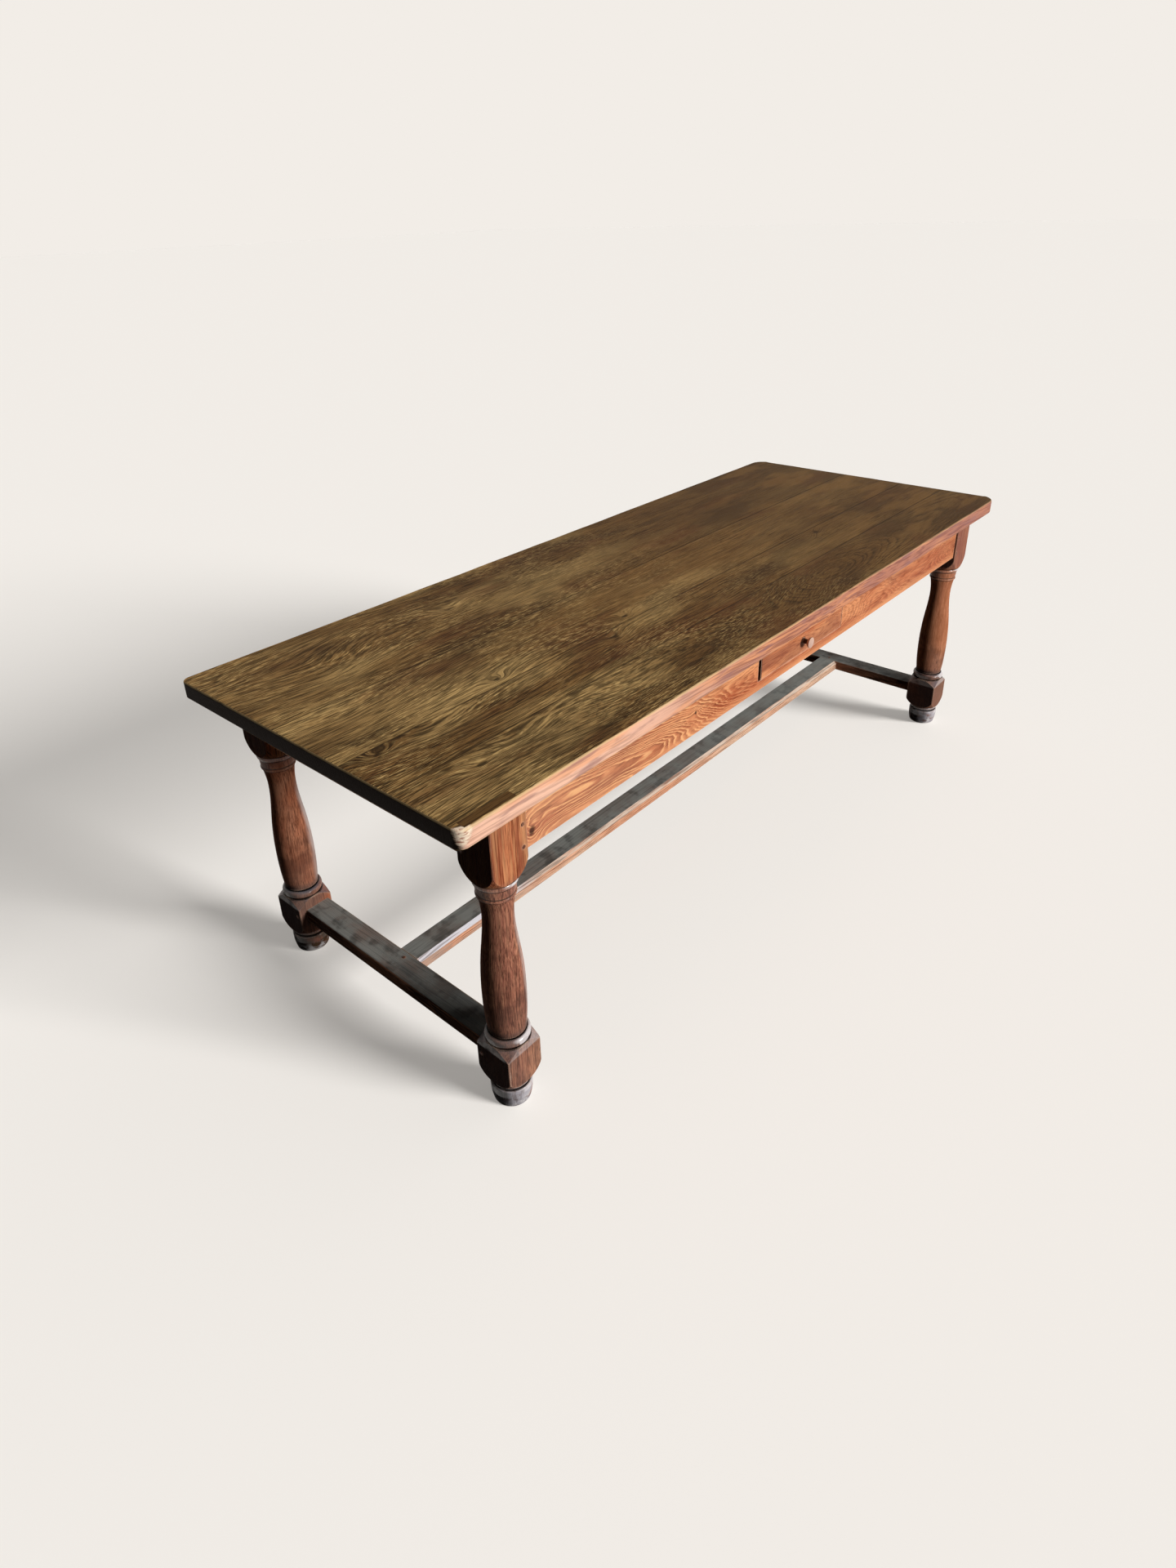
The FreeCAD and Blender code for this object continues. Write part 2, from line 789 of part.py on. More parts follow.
def drawer_front():
    board = block(drawer_left, drawer_face, drawer_low, drawer_right, drawer_front_inner, drawer_high)
    spigot_hole = Part.makeCylinder(knob_spigot_diameter / 2 + knob_fit, drawer_front_thickness,
                                    knob_place(), V(0, 1, 0))
    sockets = [dovetailed_side(hand) for hand in ENDS]
    return board.cut(sockets + [drawer_bottom(drawer_groove_fit), spigot_hole])


def drawer_back():
    board = block(drawer_left, drawer_back_inner, drawer_bottom_high, drawer_right, drawer_end, drawer_back_high)
    sockets = [dovetailed_side(hand) for hand in ENDS]
    return board.cut(sockets + [nail_hole(*place) for place in bottom_nail_places()])


def nailed_bottom():
    return drawer_bottom().cut([nail_hole(*place) for place in bottom_nail_places()])


def bottom_nail_places():
    """Three nails up through the bottom into the drawer's back."""
    y = (drawer_back_inner + drawer_end) / 2
    places = [drawer_left + bottom_nail_inset, drawer_middle, drawer_right - bottom_nail_inset]
    length = drawer_bottom_thickness + nail_bite
    return [(V(x, y, drawer_bottom_low), V(0, 0, 1), length) for x in places]


def knob_place():
    return V(drawer_middle, drawer_face, (drawer_low + drawer_high) / 2)


def drawer_knob():
    """A turned knob: spigot in the drawer front, flared base, neck and domed head."""
    head = knob_diameter / 2
    neck = knob_neck_diameter / 2
    head_low = knob_projection - knob_head_thickness
    rim = knob_projection - knob_dome
    o = Outline(0, -drawer_front_thickness)
    o.line(knob_spigot_diameter / 2, -drawer_front_thickness)
    o.line(knob_spigot_diameter / 2, 0)
    o.line(knob_base_diameter / 2, 0)
    o.bow(neck, knob_base_thickness, -quarter_sag * knob_base_thickness)
    o.line(neck, head_low)
    o.bow(head, rim, (rim - head_low) * quarter_sag)
    o.dome(knob_projection)
    return placed(o.turned(), knob_place(), V(0, -1, 0))


# Parts

def group(make, places):
    """Like fixings as one group of separate solids."""
    return Part.makeCompound([make(*place) for place in places])


def legs():
    """The four legs, each in its corner of the frame."""
    bar = leg_outline().turned().common(leg_blank())
    names = {(-1, -1): "leg_front_left", (1, -1): "leg_front_right",
             (-1, 1): "leg_back_left", (1, 1): "leg_back_right"}
    return {name: leg(bar, end, side) for (end, side), name in names.items()}


def frame():
    """Aprons, stretchers and the pegs of their joints."""
    corners = [(end, side) for end in ENDS for side in SIDES]
    apron_places = [place for end, side in corners for place in apron_peg_places(end, side)]
    return {
        "front_apron": front_apron(),
        "back_apron": long_apron(1),
        "left_end_apron": end_apron(-1),
        "right_end_apron": end_apron(1),
        "left_end_stretcher": end_stretcher(-1),
        "right_end_stretcher": end_stretcher(1),
        "long_stretcher": long_stretcher(),
        "apron_pegs": group(peg, apron_places),
        "end_stretcher_pegs": group(peg, [stretcher_peg_place(end, side) for end, side in corners]),
        "long_stretcher_pegs": group(peg, [long_peg_place(end) for end in ENDS]),
    }


def top():
    """The boards of the top and what joins and holds them."""
    names = ["top_front_board", "top_second_board", "top_third_board", "top_back_board"]
    pieces = dict(zip(names, top_boards()))
    pieces["board_tongues"] = Part.makeCompound([board_tongue(y) for y in board_joints()])
    pieces["edge_patch"] = edge_patch()
    pieces["top_buttons"] = Part.makeCompound([top_button(place) for place in all_buttons()])
    pieces["button_screws"] = group(screw, button_screw_places())
    return pieces


def carriage():
    """The fixed strips that carry and guide the drawer."""
    pieces = {}
    for hand, word in ((-1, "left"), (1, "right")):
        pieces["drawer_runner_" + word] = drawer_runner(hand)
        pieces["drawer_guide_" + word] = drawer_guide(hand)
        pieces["drawer_kicker_" + word] = drawer_kicker(hand)
    pieces["guide_nails"] = group(nail, [place for hand in ENDS for place in guide_nail_places(hand)])
    pieces["kicker_screws"] = group(screw, [place for hand in ENDS for place in kicker_screw_places(hand)])
    pieces["drawer_stops"] = Part.makeCompound([drawer_stop(hand) for hand in ENDS])
    return pieces


def drawer():
    """The pieces of the drawer."""
    return {
        "drawer_front": drawer_front(),
        "drawer_left_side": drawer_side(-1),
        "drawer_right_side": drawer_side(1),
        "drawer_back": drawer_back(),
        "drawer_bottom": nailed_bottom(),
        "drawer_bottom_nails": group(nail, bottom_nail_places()),
        "drawer_knob": drawer_knob(),
    }


def main():
    os.makedirs("parts", exist_ok=True)
    for pieces in (legs(), frame(), top(), carriage(), drawer()):
        for name, shape in pieces.items():
            shape.exportStep(os.path.join("parts", name + ".step"))


main()
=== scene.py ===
import math

import bpy
from bpy.props import FloatProperty, FloatVectorProperty, PointerProperty
from mathutils import Matrix, Vector, noise


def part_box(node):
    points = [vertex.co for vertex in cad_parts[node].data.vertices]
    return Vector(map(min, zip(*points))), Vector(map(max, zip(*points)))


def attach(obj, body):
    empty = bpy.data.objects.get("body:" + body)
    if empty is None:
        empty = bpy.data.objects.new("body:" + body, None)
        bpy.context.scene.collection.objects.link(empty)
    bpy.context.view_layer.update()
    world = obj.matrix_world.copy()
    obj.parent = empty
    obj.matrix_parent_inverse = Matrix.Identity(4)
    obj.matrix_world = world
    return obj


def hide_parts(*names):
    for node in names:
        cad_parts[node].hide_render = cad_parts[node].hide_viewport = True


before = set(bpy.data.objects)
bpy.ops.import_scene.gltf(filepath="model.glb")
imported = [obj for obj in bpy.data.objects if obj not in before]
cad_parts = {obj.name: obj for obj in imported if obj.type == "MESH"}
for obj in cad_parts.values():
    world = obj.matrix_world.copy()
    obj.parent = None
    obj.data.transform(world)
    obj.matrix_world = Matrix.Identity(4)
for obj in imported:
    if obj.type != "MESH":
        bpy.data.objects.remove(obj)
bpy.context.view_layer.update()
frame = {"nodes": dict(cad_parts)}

bl_info = {
    "name": "Oak Farmhouse Table",
    "version": (1, 0, 0),
    "blender": (4, 5, 0),
    "location": "View3D > Sidebar > Table",
    "description": "Worn oak finishes and a pale studio for a long farmhouse table with one drawer",
    "category": "Object",
}

QUARTER = math.radians(90)
ALONG_X = (0.0, 0.0, 0.0)
ALONG_Y = (0.0, 0.0, -QUARTER)
ALONG_Z = (0.0, QUARTER, 0.0)
# Depth of deeply worn grain in metres, and the specular level of dull old wax
DEEP_GRAIN = 0.0005
DULL_WAX = 0.002


def paint(red, green, blue):
    """A colour on the usual scale of 0 to 255, as the linear value that shaders take."""
    shares = [value / 255 for value in (red, green, blue)]
    return tuple(s / 12.92 if s <= 0.04045 else ((s + 0.055) / 1.055) ** 2.4 for s in shares)


def colour(name, description, *rgb):
    """A colour that a user can change, given on the usual scale of 0 to 255."""
    return FloatVectorProperty(name=name, description=description, subtype="COLOR", size=3,
                               min=0.0, max=1.0, default=paint(*rgb))


def share(name, description, default):
    """A share from 0 to 1 that a user can change."""
    return FloatProperty(name=name, description=description, subtype="FACTOR",
                         min=0.0, max=1.0, default=default)


def length(name, description, default):
    """A length in metres that a user can change."""
    return FloatProperty(name=name, description=description, subtype="DISTANCE", unit="LENGTH",
                         min=0.0, default=default)


def amount(name, description, default):
    """A strength without a unit that a user can change."""
    return FloatProperty(name=name, description=description, min=0.0, default=default)


def angle(name, description, degrees):
    """An angle that a user can change, given in degrees."""
    return FloatProperty(name=name, description=description, subtype="ANGLE",
                         default=math.radians(degrees))


class OakLook:
    """What every oak finish is mixed from."""
    ring_width: length("Ring width", "Distance between two growth rings", 0.004)
    ring_share: share("Ring strength", "How dark the early wood of each ring is", 0.55)
    fibre_share: share("Fibre strength", "How strongly the fine streaks show", 0.5)
    pore_share: share("Pore strength", "How dark the open pores are", 0.6)
    wear_width: length("Wear width", "How far wear reaches in from an arris", 0.006)
    wear_share: share("Wear strength", "How bare the worn arrises are", 0.6)
    wear_level: share("Wear level", "How sharp an arris must be to wear bare", 0.24)
    # Painted shade: besides real dirt, this share and each look's dark corner colour also paint the shade in
    # corners and grooves
    grime_and_shade_share: share("Grime strength", "How much old wax and dirt sits in corners", 0.7)
    late_share: share("Late wood strength", "How pale the last wood of each ring is", 0.2)
    roughness: share("Roughness", "Dullness of the waxed surface", 0.5)


class TopLook(OakLook, bpy.types.PropertyGroup):
    """Finish of the boards of the top."""
    ring_width: length("Ring width", "Distance between two growth rings", 0.0052)
    ring_share: share("Ring strength", "How dark the early wood of each ring is", 0.7)
    fibre_share: share("Fibre strength", "How strongly the fine streaks show", 0.75)
    pore_share: share("Pore strength", "How dark the open pores are", 0.85)
    dark: colour("Grain", "Early wood and pores", 41, 29, 17)
    body: colour("Body", "Main colour of the boards", 115, 81, 46)
    pale: colour("Light streaks", "Streaks where the stain has worn thin", 143, 105, 60)
    gold: colour("Golden places", "Golden clouds and flecks near the left end", 228, 188, 122)
    blotch: colour("Dark blotches", "Old spills and shade", 70, 48, 28)
    russet: colour("Russet places", "Redder clouds along the boards", 104, 64, 38)
    far: colour("Far end", "Even olive brown towards the right end", 92, 69, 41)
    worn: colour("Worn arris", "Bare wood along the arrises", 216, 184, 134)
    grime_and_shade: colour("Grime", "Dirt in joints and corners", 24, 16, 9)


class EdgeLook(bpy.types.PropertyGroup):
    """Side faces of the top."""
    body: colour("Edge face", "Pinkish tan of the long edge faces", 178, 120, 98)
    bleached: colour("Bleached edge", "Paler tan near the left end", 243, 193, 165)
    streak: colour("Edge streaks", "Purple brown streaks in the edge faces", 118, 72, 66)
    bruise: colour("Edge bruises", "Greyish purple patches in the edge faces", 150, 108, 104)
    split: colour("Split corner", "Pale wood where the left front corner has broken off", 255, 234, 206)
    # Partly painted shade: the end grain is made darker than it is, standing in for the shade on the end
    # faces
    end: colour("End grain", "Almost black end faces of the boards", 24, 16, 11)


class FrameLook(OakLook, bpy.types.PropertyGroup):
    """Finish of the aprons."""
    ring_width: length("Ring width", "Distance between two growth rings", 0.0024)
    ring_share: share("Ring strength", "How dark the early wood of each ring is", 0.3)
    late_share: share("Late wood strength", "How pale the last wood of each ring is", 0.3)
    dark: colour("Grain", "Early wood and pores", 98, 42, 24)
    body: colour("Body", "Main colour of the aprons", 178, 92, 56)
    pale: colour("Light patches", "Orange places where the stain is thin", 232, 158, 108)
    blotch: colour("Dark blotches", "Purple brown places where the stain is thick", 120, 60, 46)
    gold: colour("Golden loops", "Golden late wood near the left end", 246, 186, 130)
    worn: colour("Worn arris", "Bare wood along the arrises", 240, 186, 154)
    grime_and_shade: colour("Grime", "Dirt in joints and corners", 36, 18, 13)


class LegLook(OakLook, bpy.types.PropertyGroup):
    """Finish of the turned legs."""
    ring_width: length("Ring width", "Distance between two growth rings", 0.0030)
    ring_share: share("Ring strength", "How dark the early wood of each ring is", 0.35)
    fibre_share: share("Fibre strength", "How strongly the fine streaks show", 0.6)
    wear_share: share("Wear strength", "How bare the worn arrises are", 0.7)
    wear_level: share("Wear level", "How sharp an arris must be to wear bare", 0.17)
    dark: colour("Grain", "Early wood and pores", 58, 36, 28)
    body: colour("Body", "Main colour of the turned parts", 167, 106, 85)
    pale: colour("Light patches", "Lighter places on the turned parts", 204, 144, 112)
    red: colour("Red places", "Redder wood of the left back leg", 160, 88, 54)
    # Partly painted light: this golden brown also brightens the right front leg in place of the stronger
    # light on it
    amber_and_painted_light: colour("Amber places", "Golden brown wood of the right front leg", 190, 116, 74)
    blotch: colour("Dark blotches", "Purple grey places where the stain is thick", 78, 52, 46)
    worn: colour("Worn arris", "Bare wood along the arrises", 214, 178, 154)
    # This colour is dirt and also painted shade in the grooves and corners of the legs
    grime_and_shade: colour("Grime", "Dirt in grooves and corners", 14, 10, 10)
    dust: colour("Dust", "Blue grey dust on the low ledges", 88, 100, 114)
    smoke: colour("Low part", "Grey brown of the low part of the legs", 96, 78, 72)
    foot: colour("Foot", "Grey wood of the front feet", 188, 184, 190)
    damp: colour("Damp foot", "Olive brown wood of the back feet", 82, 66, 48)
    chip: colour("Chips", "Pale chips along the foot", 214, 208, 206)
    # Painted shade: this near-black colour stands in for the shade on the left faces of the leg blocks
    painted_shade: colour("Soot", "Blue black wax on the sides that look to the left", 22, 26, 32)
    # Painted sheen: this pale grey stands in for the sheen on the lit right side of the balusters
    painted_sheen: colour("Faded side", "Greyish wood on the side that the light reaches", 212, 193, 184)
    # Painted highlight: this whitish colour stands in for the glint on the front legs' beads and rings
    painted_glint: colour("Wax bloom", "Whitish wax on the beads and rings of the front legs", 226, 220, 220)
    # Partly painted highlight: the knob's face is rubbed pale and also made paler in place of the light on it
    knob: colour("Knob face", "Rubbed wood on the face of the drawer's knob", 214, 176, 158)
    roughness: share("Roughness", "Dullness of the waxed surface", 0.4)


class StretcherLook(OakLook, bpy.types.PropertyGroup):
    """Finish of the stretchers."""
    ring_share: share("Ring strength", "How dark the early wood of each ring is", 0.7)
    dark: colour("Grain", "Early wood and pores", 96, 50, 34)
    body: colour("Body", "Main colour of the side faces", 236, 168, 130)
    pale: colour("Light patches", "Lighter places on the side faces", 244, 200, 168)
    shaded: colour("End stretchers", "Dark brown of the stretchers between the legs", 66, 42, 32)
    blotch: colour("Trodden top", "Charcoal of the trodden upper faces", 150, 154, 150)
    worn: colour("Worn arris", "Bare wood along the arrises", 226, 192, 166)
    grime_and_shade: colour("Grime", "Dirt in corners", 24, 19, 17)
    dust: colour("Dust", "Grey dust on the upper faces", 182, 183, 176)
    # Partly painted highlight: this pale blue grey is rubbed wood and the glint on the chamfer near its left
    # end
    chamfer_glint: colour("Bleached chamfer", "Pale blue grey of the rubbed chamfer near its left end", 244, 242, 250)
    rubbed: colour("Rubbed chamfer", "Tan of the rubbed chamfers", 236, 214, 194)


class InnerLook(OakLook, bpy.types.PropertyGroup):
    """Finish of the raw oak that nobody sees when the drawer is closed."""
    dark: colour("Grain", "Early wood and pores", 110, 78, 50)
    body: colour("Body", "Main colour of unstained oak", 164, 126, 86)
    pale: colour("Light patches", "Lighter streaks", 190, 152, 108)
    worn: colour("Worn arris", "Rubbed arrises", 202, 168, 126)
    grime_and_shade: colour("Grime", "Dirt in corners", 62, 46, 34)
    steel: colour("Steel", "Dull steel of the screws and nails", 120, 118, 114)
    rust: colour("Rust", "Brown spots on the screws and nails", 88, 56, 38)


class StageLook(bpy.types.PropertyGroup):
    """Floor, light and camera."""
    floor: colour("Floor", "Pale floor", 205, 201, 196)
    glow: colour("Floor glow", "What the camera sees the floor give off, apart from its lit colour",
                 147, 144, 140)
    bounce: colour("Floor bounce", "What the floor throws back on to the table", 30, 29, 28)
    backdrop: colour("Backdrop", "Pale backdrop", 242, 237, 231)
    key: FloatProperty(name="Key light", description="Power of the round soft lamp in front of the table",
                       subtype="POWER", unit="POWER", min=0.0, default=350.0)
    key_width: length("Key light width", "Width of the round soft lamp", 1.8)
    sun: amount("Floor light", "Strength of the light that draws the shadow on the floor", 7.7)
    sun_width: angle("Floor light width", "How soft the shadow on the floor is", 20.0)
    fill: amount("Fill light", "Strength of the low soft light from the bright side", 0.5)
    above: amount("Overhead light", "Strength of the soft lamp over the table", 1.0)
    above_width: angle("Overhead light width", "How wide the soft lamp over the table is", 30.0)
    sky: amount("Ceiling light", "Strength of the light from the ceiling", 0.2)
    behind: amount("Back light", "Strength of the soft light from behind the table", 0.2)
    shade: amount("Shade light", "Strength of the soft light from the dim side", 0.006)
    lens: FloatProperty(name="Lens", description="Focal length of the camera", unit="CAMERA", default=21.76)


class BoardShape(bpy.types.PropertyGroup):
    """How use has shaped the boards of the top."""
    left_corner: length("Left corners", "Radius of the two corners at the left end", 0.020)
    right_corner: length("Right corners", "Radius of the two corners at the right end", 0.050)
    end_round: length("End arris", "Radius of the upper arris of the end faces", 0.0045)
    under_round: length("Lower arris", "Radius of the arrises round the under face", 0.003)
    joint_round: length("Joint arris", "Radius of the arrises along the joints", 0.0008)
    break_depth: length("Broken corner", "How far the left front corner has broken away", 0.0110)


class TableLook(bpy.types.PropertyGroup):
    """All looks of the table."""
    top: PointerProperty(name="Top", description="Finish of the boards of the top", type=TopLook)
    shape: PointerProperty(name="Boards", description="Worn shape of the boards of the top", type=BoardShape)
    edge: PointerProperty(name="Edges", description="Finish of the side faces of the top", type=EdgeLook)
    frame: PointerProperty(name="Aprons", description="Finish of the aprons", type=FrameLook)
    leg: PointerProperty(name="Legs", description="Finish of the turned legs", type=LegLook)
    stretcher: PointerProperty(name="Stretchers", description="Finish of the stretchers", type=StretcherLook)
    inner: PointerProperty(name="Inside", description="Finish of raw wood and its fixings", type=InnerLook)
    stage: PointerProperty(name="Stage", description="Floor, light and camera", type=StageLook)


class Nodes:
    """Shorthand for one node tree: each call adds a node and gives back an output."""
    # Nodes in one column of the editor, and the steps between its columns and rows
    rows = 6
    column_step = 220
    row_step = -260

    def __init__(self, tree):
        self.tree = tree

    def feed(self, socket, value):
        if isinstance(value, bpy.types.NodeSocket):
            self.tree.links.new(value, socket)
        elif socket.type == "RGBA" and len(value) == 3:
            socket.default_value = (*value, 1.0)
        else:
            socket.default_value = value

    def add(self, kind, inputs=None, **settings):
        node = self.tree.nodes.new("ShaderNode" + kind)
        column, row = divmod(len(self.tree.nodes), self.rows)
        node.location = (self.column_step * column, self.row_step * row)
        for name, value in settings.items():
            setattr(node, name, value)
        for name, value in (inputs or {}).items():
            self.feed(node.inputs[name], value)
        return node

    def math(self, operation, *values, clamp=False):
        node = self.add("Math", operation=operation, use_clamp=clamp)
        for socket, value in zip(node.inputs, values):
            self.feed(socket, value)
        return node.outputs[0]

    def vector(self, operation, *values):
        node = self.add("VectorMath", operation=operation)
        for socket, value in zip(node.inputs, values):
            self.feed(socket, value)
        return node.outputs["Value" if operation in ("LENGTH", "DISTANCE", "DOT_PRODUCT") else "Vector"]

    def ramp(self, value, start, end):
        """Smooth rise from 0 at start to 1 at end."""
        node = self.add("MapRange", {"Value": value, "From Min": start, "From Max": end},
                        interpolation_type="SMOOTHSTEP")
        return node.outputs["Result"]

    def noise(self, vector, stretch, detail=2.0, output="Fac"):
        """Cloudy noise with its own count of cells per metre along each axis."""
        scaled = self.vector("MULTIPLY", vector, stretch)
        return self.add("TexNoise", {"Vector": scaled, "Scale": 1.0, "Detail": detail}).outputs[output]

    def mix(self, factor, first, second, blend="MIX"):
        """One colour over another. A Mix node has its colours in the sockets used here."""
        node = self.add("Mix", data_type="RGBA", blend_type=blend, clamp_factor=True)
        self.feed(node.inputs[0], factor)
        self.feed(node.inputs[6], first)
        self.feed(node.inputs[7], second)
        return node.outputs[2]

    def group(self, name, **inputs):
        """A shared effect, whose inputs are given with _ for each space in their names."""
        node = self.add("Group", node_tree=bpy.data.node_groups[name])
        for key, value in inputs.items():
            self.feed(node.inputs[key.replace("_", " ")], value)
        return node.outputs


def shared_group(name, inputs, outputs):
    """An empty shader group with its sockets, and its two end nodes."""
    tree = bpy.data.node_groups.new(name, "ShaderNodeTree")
    for label, kind, default in inputs:
        socket = tree.interface.new_socket(name=label, in_out="INPUT", socket_type="NodeSocket" + kind)
        socket.default_value = default
    for label in outputs:
        tree.interface.new_socket(name=label, in_out="OUTPUT", socket_type="NodeSocketFloat")
    n = Nodes(tree)
    return n, n.tree.nodes.new("NodeGroupInput").outputs, n.tree.nodes.new("NodeGroupOutput").inputs


def make_figure_group():
    """Growth rings, pores, fibres and rays of oak, with the grain along X and the heart on the X axis."""
    n, given, put = shared_group(
        "Oak Figure",
        [("Vector", "Vector", (0, 0, 0)), ("Ring Width", "Float", 0.004), ("Waver", "Float", 0.02),
         ("Lift", "Float", 0.0)],
        ["Rings", "Late", "Pores", "Fibre", "Streaks", "Rays", "Cloud"])
    place = given["Vector"]
    # The distance from a wavering heart, lifted by knots, counts the rings, which differ in width
    slow = n.noise(place, (1.3, 3.0, 3.0), output="Color")
    sway = n.vector("SUBTRACT", slow, (0.5, 0.5, 0.5))
    reach = n.add("CombineXYZ", {"Y": given["Waver"], "Z": given["Waver"]}).outputs[0]
    bent = n.vector("MULTIPLY_ADD", sway, reach, place)
    radius = n.vector("LENGTH", n.vector("MULTIPLY", bent, (0.0, 1.0, 1.0)))
    flow = n.vector("ADD", bent, n.add("CombineXYZ", {"Y": given["Lift"]}).outputs[0])
    wobble = n.math("MULTIPLY_ADD", n.noise(place, (11.0, 60.0, 60.0), 3.0), 0.005, -0.0025)
    radius = n.math("ADD", n.math("ADD", radius, given["Lift"]), wobble)
    drift = n.add("TexNoise", {"W": n.math("MULTIPLY", radius, 90.0), "Scale": 1.0}, noise_dimensions="1D")
    phase = n.math("ADD", n.math("DIVIDE", radius, given["Ring Width"]),
                   n.math("MULTIPLY", drift.outputs["Fac"], 2.0))
    # Early wood starts each ring sharply and dies out slowly, and late wood ends it
    turn = n.math("FRACT", phase)
    early = n.math("MINIMUM", n.ramp(turn, 0.0, 0.10), n.ramp(turn, 0.62, 0.14))
    broken = n.ramp(n.noise(place, (14.0, 70.0, 70.0), 3.0), 0.25, 0.6)
    rings = n.math("SUBTRACT", 1.0, n.math("MULTIPLY", early, broken))
    late = n.math("MINIMUM", n.ramp(turn, 0.55, 0.8), n.ramp(turn, 1.0, 0.92))
    # Fine marks run along the grain and round the knots
    fibre = n.noise(flow, (16.0, 420.0, 420.0), 3.0)
    pores = n.ramp(n.noise(flow, (60.0, 900.0, 900.0), 1.0), 0.56, 0.66)
    pores = n.math("MULTIPLY", pores, n.math("MULTIPLY_ADD", rings, -0.7, 1.0))
    rays = n.ramp(n.noise(flow, (48.0, 400.0, 400.0), 4.0), 0.48, 0.64)
    n.feed(put["Rings"], rings)
    n.feed(put["Late"], n.math("MULTIPLY", late, broken))
    n.feed(put["Streaks"], n.noise(flow, (6.0, 210.0, 210.0), 4.0))
    n.feed(put["Pores"], pores)
    n.feed(put["Fibre"], fibre)
    n.feed(put["Rays"], rays)
    n.feed(put["Cloud"], n.noise(place, (2.4, 14.0, 14.0), 5.0))


def make_mark_group():
    """One knot or swirl: how far it lifts the rings round it, and its dark core."""
    n, given, put = shared_group(
        "Oak Mark",
        [("Vector", "Vector", (0, 0, 0)), ("Centre", "Vector", (0, 0, 0)),
         ("Reach", "Vector", (0.02, 0.02, 0.02)), ("Lift", "Float", 0.0)],
        ["Lift", "Core"])
    away = n.vector("DIVIDE", n.vector("SUBTRACT", given["Vector"], given["Centre"]), given["Reach"])
    ragged = n.math("MULTIPLY_ADD", n.noise(given["Vector"], (60.0, 90.0, 90.0), 3.0), 0.7, -0.35)
    far = n.vector("LENGTH", away)
    fall = n.math("EXPONENT", n.math("MULTIPLY", n.math("MULTIPLY", far, far), -0.25))
    n.feed(put["Lift"], n.math("MULTIPLY", fall, given["Lift"]))
    n.feed(put["Core"], n.ramp(n.math("ADD", far, ragged), 0.75, 0.25))


def make_wear_group():
    """Bare wood along arrises that stand out, broken up along their length."""
    n, given, put = shared_group(
        "Worn Arris",
        [("Vector", "Vector", (0, 0, 0)), ("Width", "Float", 0.006), ("Level", "Float", 0.24)],
        ["Wear"])
    thin = n.add("AmbientOcclusion", {"Distance": given["Width"]}, inside=True, only_local=True, samples=6)
    edge = n.math("SUBTRACT", 1.0, thin.outputs["AO"])
    patchy = n.noise(given["Vector"], (22.0, 22.0, 22.0), 4.0)
    worn = n.math("ADD", edge, n.math("MULTIPLY_ADD", patchy, 0.7, -0.35))
    n.feed(put["Wear"], n.ramp(worn, given["Level"], n.math("ADD", given["Level"], 0.26)))


def make_grime_and_shade_group():
    """Old wax and dirt in grooves and inner corners, which also paints the shade there."""
    n, given, put = shared_group(
        "Corner Grime",
        [("Vector", "Vector", (0, 0, 0)), ("Width", "Float", 0.012)],
        ["Grime"])
    hidden = n.add("AmbientOcclusion", {"Distance": given["Width"]}, only_local=True, samples=6)
    deep = n.math("SUBTRACT", 1.0, hidden.outputs["AO"])
    patchy = n.noise(given["Vector"], (35.0, 35.0, 35.0), 3.0)
    n.feed(put["Grime"], n.ramp(n.math("ADD", deep, n.math("MULTIPLY_ADD", patchy, 0.4, -0.2)), 0.12, 0.6))


def make_dust_group():
    """Dust on faces that look up, thicker in some places than in others."""
    n, given, put = shared_group(
        "Settled Dust",
        [("Vector", "Vector", (0, 0, 0)), ("Level", "Float", 0.7)],
        ["Dust"])
    upright = n.add("SeparateXYZ", {"Vector": n.add("NewGeometry").outputs["Normal"]}).outputs["Z"]
    lying = n.ramp(upright, given["Level"], 0.98)
    patchy = n.ramp(n.noise(given["Vector"], (14.0, 14.0, 14.0), 5.0), 0.3, 0.62)
    n.feed(put["Dust"], n.math("MULTIPLY", lying, patchy))


